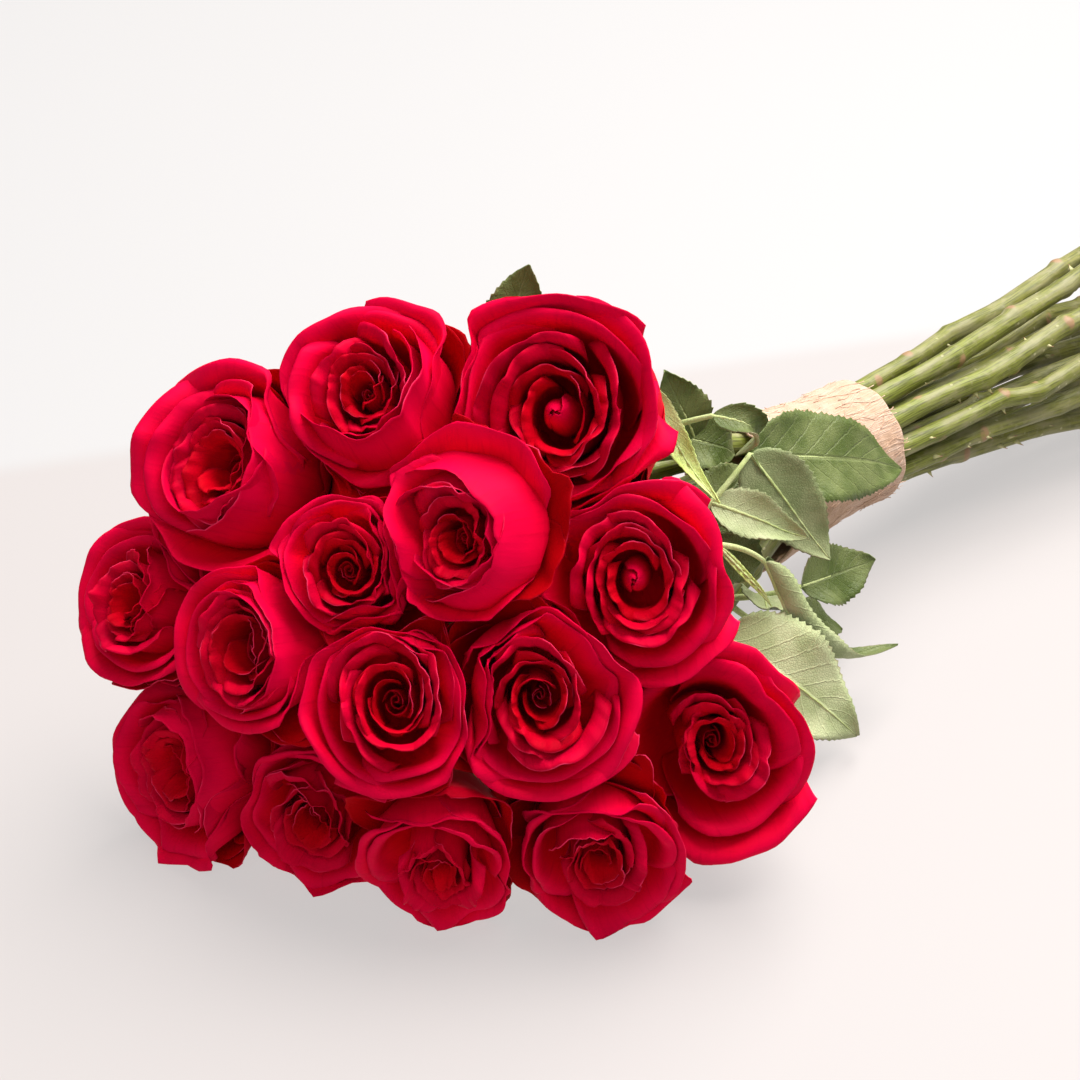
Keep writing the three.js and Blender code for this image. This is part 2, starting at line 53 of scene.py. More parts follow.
camera = bpy.data.objects.new("camera", bpy.data.cameras.new("camera"))
bpy.context.collection.objects.link(camera)
camera.data.lens = 79.3
camera.data.sensor_width = 36
camera.location = (EYE + START) / 1000
camera.rotation_mode = "QUATERNION"
camera.rotation_quaternion = LOOK.to_track_quat("-Z", "Y")
bpy.context.scene.camera = camera
bpy.context.scene.view_settings.view_transform = "Standard"


# ---- Floor and light -----------------------------------------------------------------------
# A plain pale floor that runs far out, whiter behind the bunch. It glows faintly, so that its
# shadows stay pale. A large soft light hangs high at the right behind the heads, and a weak one
# at the front left.
FLOOR_HALF = 60
BEHIND = (0.396, 0.918, 0.0)
FRONT_WHITE, BACK_WHITE = (0.112, 0.095, 0.089), (0.130, 0.130, 0.130)
LIGHTS_AIM = (-0.2, 0, 0.1)


def node(tree, kind, sockets=None, **settings):
    """Adds a shader node. settings are its own options. sockets maps an input's name or number
    to a constant, or to another node's output."""
    new = tree.nodes.new(kind)
    for name, value in settings.items():
        setattr(new, name, value)
    for name, value in (sockets or {}).items():
        if isinstance(value, bpy.types.NodeSocket):
            tree.links.new(value, new.inputs[name])
        else:
            new.inputs[name].default_value = value
    return new


def tree_of(*values):
    """The node tree that holds the first socket among the values."""
    return next(value.id_data for value in values if isinstance(value, bpy.types.NodeSocket))


def maths(operation, *values):
    """The value of one arithmetic node with these inputs, of which one at least is a socket."""
    made = node(tree_of(*values), "ShaderNodeMath", dict(enumerate(values)), operation=operation)
    return made.outputs[0]


def times(first, second):
    """The product of two values."""
    return maths("MULTIPLY", first, second)


def inverse(value):
    """1 less the value."""
    return maths("SUBTRACT", 1.0, value)


def fade(value, low, high):
    """0 below low, 1 above high, and a smooth step between them."""
    sockets = {"Value": value, "From Min": low, "From Max": high}
    made = node(tree_of(value), "ShaderNodeMapRange", sockets, interpolation_type="SMOOTHSTEP")
    return made.outputs["Result"]


def layered(colour, *coats):
    """Lays coats over a colour. Each is where it covers, from 0 to 1, its colour, and, where given,
    the most that it covers."""
    for share, coat, *most in coats:
        share = times(share, most[0]) if most else share
        colour, coat = ((*one, 1) if isinstance(one, tuple) else one for one in (colour, coat))
        mixed = {0: share, 6: colour, 7: coat}
        colour = node(tree_of(share), "ShaderNodeMix", mixed, data_type="RGBA").outputs[2]
    return colour


def surface(name, roughness, **constants):
    """A material with one Principled shader, whose constant sockets are set directly."""
    material = bpy.data.materials.new(name)
    material.use_nodes = True
    shader = material.node_tree.nodes["Principled BSDF"]
    shader.inputs["Roughness"].default_value = roughness
    for socket, value in constants.items():
        shader.inputs[socket.replace("_", " ")].default_value = value
    return material, material.node_tree, shader


table_paint, tree, shader = surface("table_paint", 0.6, Emission_Color=(1.0, 0.97, 0.96, 1),
                                    Emission_Strength=0.545)
place = node(tree, "ShaderNodeTexCoord").outputs["Object"]
behind = node(tree, "ShaderNodeVectorMath", {0: place, 1: BEHIND}, operation="DOT_PRODUCT")
whiter = fade(behind.outputs["Value"], 0.205, 0.225)
tree.links.new(layered(FRONT_WHITE, (whiter, BACK_WHITE)), shader.inputs["Base Color"])
corners = [(x * FLOOR_HALF, y * FLOOR_HALF, 0) for x, y in ((-1, -1), (1, -1), (1, 1), (-1, 1))]
table_mesh = bpy.data.meshes.new("table")
table_mesh.from_pydata(corners, [], [(0, 1, 2, 3)])
table_mesh.materials.append(table_paint)
table = bpy.data.objects.new("table", table_mesh)
bpy.context.collection.objects.link(table)

for name, place, size, watts, colour in (
        ("window", (0.85, 0.15, 2.1), 2.3, 172, (1.0, 0.97, 0.95)),
        ("room", (-1.3, -1.1, 1.5), 1.8, 14, (0.96, 0.98, 1.0))):
    lamp = bpy.data.lights.new(name, "AREA")
    lamp.size, lamp.energy, lamp.color = size, watts, colour
    light = bpy.data.objects.new(name, lamp)
    light.location = place
    light.rotation_mode = "QUATERNION"
    light.rotation_quaternion = (Vector(LIGHTS_AIM) - Vector(place)).to_track_quat("-Z", "Y")
    bpy.context.collection.objects.link(light)
world = bpy.data.worlds.new("sky")
world.use_nodes = True
world.node_tree.nodes["Background"].inputs["Color"].default_value = (1.0, 0.99, 0.98, 1)
world.node_tree.nodes["Background"].inputs["Strength"].default_value = 0.285
bpy.context.scene.world = world


# ---- Blooms --------------------------------------------------------------------------------
# Each head is twenty-nine velvety petals on one hip: six low ones at the back, seven wide ones
# that roll back, and sixteen that wind into a tight heart. The heads are bound together, so the
# petals of neighbours bend along each other.
HIP_RADIUS = 5.4
HEAD_DEEP, HEAD_BASE = 0.45, 22
PETAL_ROWS, PETAL_COLUMNS = 22, 29
GOLDEN_ANGLE = math.radians(137.5)
MEET_AT, MEET_WITHIN, MEET_LEAN = 0.8, 0.75, math.radians(24)
PETAL_GAP, FLOOR_GAP = 0.4, 0.4

# Each row: the middle of the face, where it looks (turn and lift, in degrees), the width across
# the outer petals, the cup's roll and radius, how hollow its heart is, and the stem's place in the
# cuff. Then directions round the face, how far the petals reach there over half the width, and 1
# where their rims stay high. Last, for some, shut: the side that stays closed, bud: 1 if the heart
# is one, and neck: how far the stem runs on straight.
ROSE_SHAPE = "at turn lift wide roll cup hollow slot outer".split()
ROSES = {
    "01": ((-250, 0, 174), 35, 43, 60, 20, 14, 0.25, ("outer", 1),
        ((45, 1.25), (140, 0.9), (205, 0.9), (290, 1.35)), dict(shut=-30)),
    "02": ((-205, -51, 169), 42, 33, 80, 112, 21, 0.3, ("outer", 2),
        ((20, 0.8), (100, 0.98), (185, 1.35), (265, 1.1), (322, 0.74)), dict(bud=1)),
    "03": ((-294, 33, 145), 15, 38, 70, 200, 15.5, 0.5, ("outer", 0),
        ((15, 1.5), (85, 1.05), (180, 0.85), (265, 1.1)), dict(shut=-15)),
    "04": ((-259, -61, 144), 30, 28, 62, 310, 12.5, 0.3, ("inner", 1),
        ((5, 1.4), (112, 1.35), (195, 0.85), (280, 1.05)), dict(shut=-5)),
    "05": ((-284, -34, 130), 45, 38, 48, 60, 14.5, 0.22, ("inner", 0),
        ((30, 1.0), (115, 1.05), (185, 1.0), (262, 1.5)), {}),
    "06": ((-210, -100, 126), 47, 30, 69, 150, 17, 0.35, ("outer", 3),
        ((15, 0.76), (60, 0.8), (110, 1.0), (190, 1.2), (275, 1.1)), dict(bud=1)),
    "07": ((-327, 48, 93), 5, 33, 57, 262, 13, 0.42, ("outer", 9),
        ((0, 1.2), (70, 1.2), (160, 0.95), (265, 1.05)), {}),
    "08": ((-320, -16, 103), 20, 28, 52, 340, 15, 0.5, ("inner", 4),
        ((10, 1.1), (90, 1.15), (180, 1.1), (270, 1.1)), dict(shut=20)),
    "09": ((-293, -70, 99), 45, 38, 57, 90, 17, 0.38, ("inner", 3),
        ((25, 1.0), (110, 1.0), (195, 1.05), (280, 1.1)), {}),
    "10": ((-254, -102, 97), 50, 28, 63, 180, 16.5, 0.33, ("inner", 2),
        ((0, 1.0), (75, 1.2), (150, 1.15), (275, 1.05)), {}),
    "11": ((-193, -128, 62), 55, 28, 74, 310, 13.5, 0.42, ("outer", 4),
        ((5, 0.8), (50, 0.64), (90, 0.95), (190, 1.2), (300, 1.2)), {}),
    "12": ((-336, 13.6, 38), 10, 17, 66, 10, 15, 0.5, ("outer", 8),
        ((0, 1.3), (70, 1.3), (180, 0.95), (272, 1.1, 0.95)), dict(shut=5, neck=0.32)),
    "13": ((-309, -37, 28.5), 35, 3, 54, 110, 14, 0.3, ("outer", 7),
        ((5, 1.3), (60, 1.15), (120, 1.0), (175, 1.05), (275, 1.25, 1)), {}),
    "14": ((-292, -92, 29.5), 45, -12, 52, 210, 11.5, 0.26, ("outer", 6),
        ((0, 1.2), (50, 1.05), (85, 1.35), (120, 1.1), (175, 1.1), (270, 1.4, 1)), {}),
    "15": ((-247, -126, 33.5), 50, -2, 56, 350, 13, 0.3, ("outer", 5),
        ((0, 1.0), (60, 0.95), (135, 0.95), (180, 1.05), (270, 1.4, 1)), dict(neck=0.48)),
}
ROSES = {number: dict(zip(ROSE_SHAPE, row), **row[-1]) for number, row in ROSES.items()}

# turn: a petal's direction round the axis. waist, flare, belly: the inner points of its curve. rim,
# high: how far out and up it ends. share: its rim over the room there is, or 0. fill: 1 if it fills
# the room. half: half its width over its waist. drop, tip: how far its rim falls to the sides and
# comes to a point. curl, bend: how far it rolls back, and from where. slip, lean, oval: how it
# leaves the round. ring: 0 at the back, 1 in the heart.
PETAL_SHAPE = ("turn waist flare belly rim high share fill half drop tip curl bend slip lean oval"
               " ring").split()


def step(value, low, high):
    """0 below low, 1 above high, and 3t² - 2t³ between them."""
    t = np.clip((value - low) / (high - low), 0, 1)
    return t * t * (3 - 2 * t)


def unit(vectors):
    """The vectors along the last axis, each divided by its length."""
    return vectors / np.maximum(np.linalg.norm(vectors, axis=-1, keepdims=True), 1e-9)


def head_frame(rose):
    """The head's base, axis, right, up and height. The axis looks turn degrees from -X towards -Y
    and lift degrees up, and the height is HEAD_DEEP of the width plus HEAD_BASE."""
    turn, lift = math.radians(rose["turn"]), math.radians(rose["lift"])
    axis = np.array([-math.cos(lift) * math.cos(turn), -math.cos(lift) * math.sin(turn),
                     math.sin(lift)])
    right = np.array([math.sin(turn), -math.cos(turn), 0.0])
    height = HEAD_DEEP * rose["wide"] + HEAD_BASE
    return np.array(rose["at"]) - height * axis, axis, right, np.cross(axis, right), height


def partings(rose):
    """The planes between a head and the heads it presses on: each one's point, its way out, two
    directions along it, and the side of it that the head is on. Two heads share the distance
    between them by their widths, and the plane leans, so that the petals of the head in front lie
    over the other's."""
    base, axis, *_, height = head_frame(rose)
    own = base + MEET_AT * height * axis
    planes = []
    for other in ROSES.values():
        far_base, far_axis, *_, far_height = head_frame(other)
        way = far_base + MEET_AT * far_height * far_axis - own
        distance = np.linalg.norm(way)
        both_wide = rose["wide"] + other["wide"]
        if other is rose or distance > MEET_WITHIN * both_wide:
            continue
        way = way / distance
        side = 1 if way @ np.array(LOOK) > 0 else -1
        both = axis + far_axis
        both = both - (both @ way) * way
        out = math.cos(MEET_LEAN) * way - math.sin(MEET_LEAN) * side * unit(both)
        along = np.cross(out, both) * side
        point = own + way * distance * rose["wide"] / both_wide
        planes.append((point, out, unit(along), np.cross(out, along) * side, side))
    return planes


def pressed(points, planes, soft, off, under):
    """Bends points along the planes, which wave a little: a petal stays off mm away from a plane,
    and from soft mm before that its points go on ever less. It passes under mm beyond a plane with
    a head in front. Nothing goes lower than FLOOR_GAP."""
    points = points.copy()
    for point, out, along, across, side in planes * 3:
        way = points - point
        far = points @ along
        wave = 1.6 * np.sin(0.13 * far + 1) + np.sin(0.29 * far + 0.1 * (points @ across))
        reach = way @ out
        free = side * wave - PETAL_GAP - off - soft + (under if side < 0 else 0)
        kept = free + soft * (1 - np.exp(np.minimum(free - reach, 0) / soft))
        points += np.where(reach > free, kept - reach, 0)[..., None] * out
    points[..., 2] = np.maximum(points[..., 2], FLOOR_GAP)
    return points


def quads(number):
    """The faces between the points of grids with these numbers, four point numbers each."""
    return np.stack([number[..., :-1, :-1], number[..., :-1, 1:], number[..., 1:, 1:],
                     number[..., 1:, :-1]], axis=-1).reshape(-1, 4)


def closed_sheets(grids, thick):
    """Gives thin sheets two faces and a rim. grids is (sheets, rows, columns, 3) and thick the
    thickness. Each face lies half of it off the grid, along the cross product of the steps across
    and along. Returns the points and the faces."""
    normal = unit(np.cross(np.gradient(grids, axis=2), np.gradient(grids, axis=1)))
    lift = normal * np.broadcast_to(thick, grids.shape[:-1])[..., None] / 2
    points = np.stack([grids + lift, grids - lift], axis=1)
    number = np.arange(points[..., 0].size).reshape(points.shape[:-1])
    front, back = number[:, 0], number[:, 1]
    loops = [np.concatenate([side[:, 0], side[:, 1:, -1], side[:, -1, -2::-1], side[:, -2::-1, 0]],
                            axis=1) for side in (back, front)]
    rim = quads(np.stack(loops, axis=1))[:, [2, 3, 0, 1]]
    faces = np.concatenate([quads(front), quads(back)[:, [0, 3, 2, 1]], rim])
    return points.reshape(-1, 3), faces


def make_piece(name, points, faces, material, **values):
    """One smooth object from points in millimetres, rows of point numbers, and named vectors on
    the points. Its place is in its mesh."""
    mesh = bpy.data.meshes.new(name)
    mesh.vertices.add(len(points))
    mesh.vertices.foreach_set("co", ((points + START) / 1000).astype(np.float32).ravel())
    mesh.loops.add(faces.size)
    mesh.loops.foreach_set("vertex_index", faces.astype(np.int32).ravel())
    mesh.polygons.add(len(faces))
    starts = np.arange(0, faces.size, faces.shape[1], dtype=np.int32)
    mesh.polygons.foreach_set("loop_start", starts)
    mesh.polygons.foreach_set("use_smooth", np.ones(len(faces), dtype=bool))
    mesh.update(calc_edges=True)
    for value_name, value in values.items():
        held = mesh.attributes.new(value_name, "FLOAT_VECTOR", "POINT")
        held.data.foreach_set("vector", np.ascontiguousarray(value, dtype=np.float32).ravel())
    mesh.materials.append(material)
    piece = bpy.data.objects.new(name, mesh)
    bpy.context.collection.objects.link(piece)
    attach(piece, "root")
    return piece


def room_round(rose, planes, angles, fill):
    """How far from the axis the petals reach at their rims, in each direction, and how high. The
    reach is the head's list, passed on evenly round the face, or less where a parting stands
    nearer. Petals that fill the room, where fill is 1, reach past a parting that is quite near, or
    near there and 40 degrees to both sides, unless the head behind it lies far behind or the list
    is short there. A rim that reaches wide rolls down, to 0.78 of the head's height."""
    base, axis, right, up, height = head_frame(rose)
    listed = np.array([(*one, 0)[:3] for one in rose["outer"]], dtype=float)
    reach, high = (np.interp(angles, np.radians(listed[:, 0]), listed[:, i], period=2 * np.pi)
                   for i in (1, 2))
    out = reach * rose["wide"] / 2
    middle = base + (0.85 - 0.23 * fill[..., None, None]) * height * axis
    turns = angles[..., None] + np.radians([-40, 0, 40])
    way_out = right * np.cos(turns)[..., None] + up * np.sin(turns)[..., None]
    rooms, depth = np.full(turns.shape, 1e3), np.zeros(turns.shape)
    for point, way, *_ in planes:
        facing = way_out @ way
        room = ((point - middle) @ way - PETAL_GAP) / np.maximum(facing, 0.2)
        room = np.where(facing > 0.2, room, 1e3)
        depth = np.where(room < rooms, way @ np.array(LOOK), depth)
        rooms = np.minimum(rooms, room)
    near = (1 - step(rooms / rose["wide"], 0.95, 1.35)).prod(axis=-1)
    near = np.maximum(near, 1 - step(rooms[..., 1] / rose["wide"], 0.5, 0.68))
    near = near * (1 - step(depth[..., 1], 0.4, 0.65)) * step(2 * out / rose["wide"], 0.74, 0.88)
    filled = out + near * (1.28 * np.minimum(rooms[..., 1], 0.8 * rose["wide"]) - out)
    out = np.where(fill > 0, filled, np.minimum(out, rooms[..., 1]))
    return out, np.maximum(high, 1 - 0.22 * step(2 * out / rose["wide"], 0.7, 1.25))


def petal_sheets(rose, planes, petals, draw):
    """The middle surfaces of a head's petals, bent along the partings. A column of a petal is a
    Bezier curve in the plane through the head's axis, from the hip out round the cup and up to the
    rim. Near the rim its slope turns outwards by the petal's curl. The columns stand side by side
    round the axis, a petal's width apart in all. The reach of a petal that fills the room is evened
    out over nine columns. Sine waves across the petal ruffle its rim."""
    base, axis, right, up, height = head_frame(rose)
    spread = np.linspace(0, 1, PETAL_ROWS)
    v = (0.5 * spread + 0.5 * np.sin(spread * np.pi / 2))[None, :, None]
    u = np.linspace(-1, 1, PETAL_COLUMNS)[None, None, :]
    (turn, waist, flare, belly, rim, high, share, fill, half, drop, tip, curl, bend, slip, lean,
     oval, ring) = (np.array([petal.get(key, 0) for petal in petals], dtype=float)[:, None, None]
                    for key in PETAL_SHAPE)
    phase = draw.uniform(0, 2 * np.pi, (5, len(petals), 1, 1))
    half_width = half * np.maximum(waist, 3)
    middle_room = room_round(rose, planes, turn, fill)[0]
    turns = turn + u * half_width / np.maximum(middle_room, 6)
    room, top = room_round(rose, planes, turns, fill)
    beside = np.pad(room, ((0, 0), (0, 0), (4, 4)), mode="edge")
    even = np.lib.stride_tricks.sliding_window_view(beside, 9, axis=2).mean(axis=-1)
    room = np.where(fill > 0, even, room)
    wide_rim = share * np.maximum(0.97 * room, 1.1 * waist)
    out = np.where(share > 0, wide_rim + (1.15 * waist - wide_rim) * 0.35 * np.abs(u) ** 3, rim)
    top = np.where((share > 0) & (fill == 0), high * top, high)
    bezier = [(HIP_RADIUS * 0.6 + 0 * u, 0.03 * height + 0 * u), (1.35 * waist, -0.02 * height),
              (flare * waist, belly * height), (out, top * height)]
    outline = 1 - drop * np.abs(u) ** 3
    outline = outline + tip * np.exp(-((u - 0.25 * np.sin(phase[4])) / 0.16) ** 2)
    outline = outline + 0.016 * np.sin(7 * u + phase[0]) + 0.01 * np.sin(15 * u + phase[1])
    frayed = np.sin(31 * u + 2 * phase[0]) * (1 + np.sin(5 * u + phase[2]))
    s = v * (outline + 0.005 * frayed)
    slope = [3 * (1 - s) ** 2 * (bezier[1][i] - bezier[0][i])
             + 6 * (1 - s) * s * (bezier[2][i] - bezier[1][i])
             + 3 * s * s * (bezier[3][i] - bezier[2][i]) for i in (0, 1)]
    speed = np.hypot(*slope)
    rolled = curl * (0.5 + 0.5 * np.tanh(3 * np.abs(u - 0.4 * np.sin(phase[2]))))
    angle = np.arctan2(slope[1], slope[0])
    angle = angle - rolled * np.clip((v - bend) / (1 - bend), 0, 1) ** 1.3
    ds = np.diff(s, axis=1)
    going = [speed * np.cos(angle), speed * np.sin(angle)]
    gone = [np.cumsum((way[:, 1:] + way[:, :-1]) / 2 * ds, axis=1) for way in going]
    r, h = (np.concatenate([start + 0 * s[:, :1], start + way], axis=1)
            for way, start in zip(gone, bezier[0]))
    wave = step(v, 0.4, 1) * (0.4 + 0.6 * np.abs(u)) * (1 - 0.45 * step(ring, 0.3, 0.5))
    r = r + slip * u * step(v, 0.1, 0.5) + 0.05 * waist * wave * np.sin(4.5 * u + phase[2])
    r = r + 0.022 * waist * wave * np.sin(11 * u + 5 * v + phase[0])
    h = h + waist * step(v, 0.3, 1) * (lean * u + 0.03 * np.sin(6 * u + phase[3]))
    width = half_width * (0.35 + 0.65 * step(v, 0, 0.5))
    middle = np.maximum(r[:, :, PETAL_COLUMNS // 2, None], 0.6 * np.maximum(waist, 3))
    angle = turn + u * np.minimum(width / middle, 2.2)
    r = np.maximum(r, 0.3) * (1 - oval * np.cos(2 * angle - 0.5) * step(v, 0.2, 0.7))
    angle, r, h = angle[..., None], r[..., None], h[..., None]
    off = 9 * np.minimum(ring, 0.2) + 0.25 * (np.arange(len(petals))[:, None, None] % 3)
    points = base + axis * h + right * r * np.cos(angle) + up * r * np.sin(angle)
    return pressed(points, planes, 5 - 3.2 * fill, off, 4 * fill)


def open_petals(rose, planes, draw):
    """The wide petals round the cup: six low ones at the back that fill all the room between the
    heads, four broad outer ones that roll back, and three that stand in their gaps, nearer to the
    cup. Towards a head's shut side they stay closed round the cup, and their backs are seen."""
    cup = rose["cup"]
    first = math.radians(rose["outer"][0][0])
    shut = math.radians(rose.get("shut", 0))
    petals = []
    for ring, count, offset in ((0, 6, 0.4), (1, 4, 0.0), (2, 3, 0.9)):
        for k in range(count):
            turn = first + offset + 2 * math.pi * k / count + draw.uniform(-0.25, 0.25)
            room = float(room_round(rose, planes, np.array([turn]), np.zeros(1))[0][0])
            spare = max(room - cup, 4)
            petal = dict(turn=turn, slip=draw.uniform(0, 2.5), lean=draw.uniform(-0.06, 0.06),
                         ring=0.1 * ring)
            if ring == 0:
                petal.update(waist=1.4 * cup, flare=1.3, belly=0.42, high=0.64, share=1, fill=1,
                             half=1.9, drop=0.1, tip=draw.uniform(0, 0.05),
                             curl=draw.uniform(0.2, 0.8), bend=0.85)
            elif math.cos(turn - shut) > 0.45 and "shut" in rose:
                petal.update(waist=cup + (0.55 if ring == 1 else 0.3) * spare, flare=1.22,
                             belly=0.74, rim=(1.22 if ring == 1 else 1.08) * cup,
                             high=draw.uniform(0.96, 1.03), half=1.6, drop=0.18,
                             tip=draw.uniform(0, 0.06), curl=draw.uniform(0.5, 1.1), bend=0.86)
            else:
                petal.update(waist=cup + (0.42 if ring == 1 else 0.22) * spare, flare=1.12,
                             belly=0.86, high=draw.uniform(0.98, 1.08),
                             share=1.02 if ring == 1 else draw.uniform(0.78, 0.95), half=1.8,
                             drop=0.22, tip=draw.uniform(0.0, 0.13),
                             curl=draw.uniform(0.9, 2.2) if ring == 1 else draw.uniform(0.5, 1.6),
                             bend=0.7 if ring == 1 else 0.78)
            petals.append(petal)
    return petals


def cup_petals(rose, draw):
    """The cup's petals follow each other at the golden angle, each nearer to the axis than the one
    before. They wrap half round it. The last four close over its heart, or over a bud in a
    hollow."""
    cup, hollow = rose["cup"], rose["hollow"]
    heart = 0.16 + 0.62 * hollow + 0.14 * rose.get("bud", 0)
    closing = (0.3, 0.25, 0.19, 0.12) if "bud" in rose else np.array([0.72, 0.5, 0.3, 0.15]) * heart
    petals = []
    for k, share in enumerate([*np.linspace(1.04, heart, 12), *closing]):
        waist = share * cup * draw.uniform(0.93, 1.06)
        deep = 0.3 * hollow * (1 - share) + (0.1 + 0.35 * hollow) * (k > 11)
        petals.append(dict(
            turn=math.radians(rose["roll"]) + GOLDEN_ANGLE * k + draw.uniform(-0.5, 0.5),
            waist=waist, flare=1.06 + 0.06 * share, belly=0.64 + 0.1 * (1 - share),
            rim=(0.96 - 0.1 * (1 - share)) * waist, high=0.985 - deep + draw.uniform(-0.05, 0.035),
            half=1.25 + 0.5 * (1 - share), drop=0.13, tip=draw.uniform(0, 0.07),
            curl=0.3 + 0.9 * share + draw.uniform(-0.3, 0.5), bend=0.82, slip=0.12 * waist + 0.6,
            lean=draw.uniform(-0.2, 0.2), oval=0.03 + 0.22 * hollow, ring=0.4 + 0.6 * (1 - share)))
        if "bud" in rose and k > 11:
            petals[-1].update(high=1.14 - 0.018 * k, rim=0.2 * waist, belly=0.8, flare=1.5,
                              curl=0.0, ring=0.12)
    return petals


def on_points(tree, name):
    """The three parts of the vector with this name on a mesh's points."""
    held = node(tree, "ShaderNodeAttribute", attribute_name=name).outputs["Vector"]
    return node(tree, "ShaderNodeSeparateXYZ", {0: held}).outputs


def noise(vector, scale, detail, warp=0.0):
    """The value of a noise texture."""
    sockets = {"Vector": vector, "Scale": scale, "Detail": detail, "Distortion": warp}
    return node(tree_of(vector), "ShaderNodeTexNoise", sockets).outputs["Fac"]


def effect(name, vectors, values, results):
    """A node group that materials share, with these sockets, its inputs, and its outputs."""
    group = bpy.data.node_groups.new(name, "ShaderNodeTree")
    for side, kind, names in (("INPUT", "Vector", vectors), ("INPUT", "Float", values),
                              ("OUTPUT", "Float", results)):
        for socket in names.split():
            group.interface.new_socket(socket, in_out=side, socket_type="NodeSocket" + kind)
    given, put = (group.nodes.new("NodeGroup" + side) for side in ("Input", "Output"))
    return group, given.outputs, put.inputs


# Fibres and veins: the height of a noise on a vector that is stretched, and where it is high.
grain, given, put = effect("grain", "Skin Stretch", "Scale Detail Warp Low High", "Height Mask")
long = node(grain, "ShaderNodeVectorMath", {0: given["Skin"], 1: given["Stretch"]},
            operation="MULTIPLY").outputs[0]
height = noise(long, given["Scale"], given["Detail"], given["Warp"])
grain.links.new(height, put["Height"])
grain.links.new(fade(height, given["Low"], given["High"]), put["Mask"])

# Dry rims, in spots: from Start to 1 on the way to the rim, and from 0.5 to Full in a cloud.
dry_rim, given, put = effect("dry_rim", "", "Rim Start Cloud Full", "Mask")
spots = fade(given["Cloud"], 0.5, given["Full"])
dry_rim.links.new(times(fade(given["Rim"], given["Start"], 1.0), spots), put["Mask"])


def placed(group, tree, **sockets):
    """The outputs of a shared effect that is placed in a material with these values."""
    return node(tree, "ShaderNodeGroup", sockets, node_tree=group).outputs


def finish(shader, colour, height, strength, distance):
    """Links a shader's colour, and its normal from a bump with this height."""
    tree = tree_of(colour)
    tree.links.new(colour, shader.inputs["Base Color"])
    bump = node(tree, "ShaderNodeBump",
                {"Height": height, "Strength": strength, "Distance": distance})
    tree.links.new(bump.outputs[0], shader.inputs["Normal"])


def velvet(name):
    """The petals' material: deep red, a little pinker on the backs, with fine veins along the
    petal.
    Painted shade makes the six low petals at the back, between the heads, a deeper red, and a
    painted highlight makes the outer part of the wide petals brighter and pinker. Towards the rim
    it is darker in patches, partly the petal's own deeper rim and partly painted shade that grows
    towards the heart. The very edge is dry and pale in places. Light that grazes it gives a faint
    magenta sheen."""
    material, tree, shader = surface(name, 0.6, Sheen_Weight=0.06, Sheen_Roughness=0.4,
                                     Sheen_Tint=(1.0, 0.0, 0.08, 1), Specular_IOR_Level=0.03)
    across, along, back = on_points(tree, "petal")
    ring, chance, _ = on_points(tree, "which")
    cloud = noise(node(tree, "ShaderNodeTexCoord").outputs["Object"], 55, 4)
    out = maths("MAXIMUM", along, times(maths("ABSOLUTE", across), fade(along, 0.3, 0.7)))
    fan = node(tree, "ShaderNodeCombineXYZ", {0: across, 1: along, 2: chance}).outputs[0]
    ribs, vein = placed(grain, tree, Skin=fan, Stretch=(24, 2.5, 50), Scale=1.0, Detail=3, Low=0.5,
                        High=0.8)
    # Painted shade: where wide is 0, on the low back petals between the heads, the red is deeper.
    wide = fade(ring, 0.0, 0.08)
    # Painted highlight: the outer part of the wide petals, not the heart, is brighter and pinker.
    broad = times(times(wide, inverse(fade(ring, 0.25, 0.8))), fade(along, 0.4, 0.95))
    reach = maths("ADD", times(maths("SUBTRACT", cloud, 0.5), 0.55), out)
    # Rim patches: partly the petal's own deeper rim, partly painted shade, more in the heart.
    rim_dark_and_shade = times(fade(reach, 0.6, 1.08), maths("ADD", 0.3, times(ring, 0.35)))
    dry = placed(dry_rim, tree, Rim=out, Start=0.985, Cloud=cloud, Full=0.64)["Mask"]
    # The third coat is painted shade, the fifth a painted highlight.
    red = layered((0.64, 0.0, 0.005), (chance, (0.80, 0.0, 0.012)),
                  (inverse(wide), (0.46, 0.0, 0.003)), (back, (0.60, 0.0, 0.027), 0.5),
                  (broad, (0.83, 0.0, 0.052), 0.9), (vein, (0.28, 0.0, 0.005), 0.22),
                  (rim_dark_and_shade, (0.14, 0.0, 0.004)), (dry, (0.85, 0.04, 0.13), 0.7))
    finish(shader, red, ribs, 0.2, 0.0006)
    return material


petal_velvet = velvet("petal_velvet")
for number, rose in ROSES.items():
    draw = np.random.default_rng(100 + int(number))
    planes = partings(rose)
    petals = open_petals(rose, planes, draw) + cup_petals(rose, draw)
    sheets = petal_sheets(rose, planes, petals, draw)
    v, u = np.linspace(0, 1, PETAL_ROWS)[:, None], np.linspace(-1, 1, PETAL_COLUMNS)
    points, faces = closed_sheets(sheets, 0.6 - 0.3 * v)
    shape = (len(petals), 2, PETAL_ROWS, PETAL_COLUMNS)
    back = np.array([1, 0])[:, None, None]
    on_petal = np.stack([np.broadcast_to(part, shape) for part in (u, v, back)], axis=-1)
    ring = np.array([petal["ring"] for petal in petals])[:, None, None, None]
    chance = draw.uniform(0, 1, len(petals))[:, None, None, None]
    which = [np.broadcast_to(part, shape) for part in (ring, chance, int(number))]
    bloom = make_piece("petals_" + number, points, faces, petal_velvet, petal=on_petal,
                       which=np.stack(which, axis=-1))
    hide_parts("bloom_" + number)


# ---- Stems ---------------------------------------------------------------------------------
# Fifteen long woody stems, cut off flat at the end. Each has a knee with a brown scar where each
# leaf was stripped, pale pores, and the stubs of thorns. They touch only in the cuff, and part on
# both sides of it.
BOUND, CUT, UNEVEN = -18.0, 246.0, 9.0
INNER_RING, OUTER_RING = 9.19, 19.15
STEM_SIDES, KNEE_WIDTH = 16, 3.2


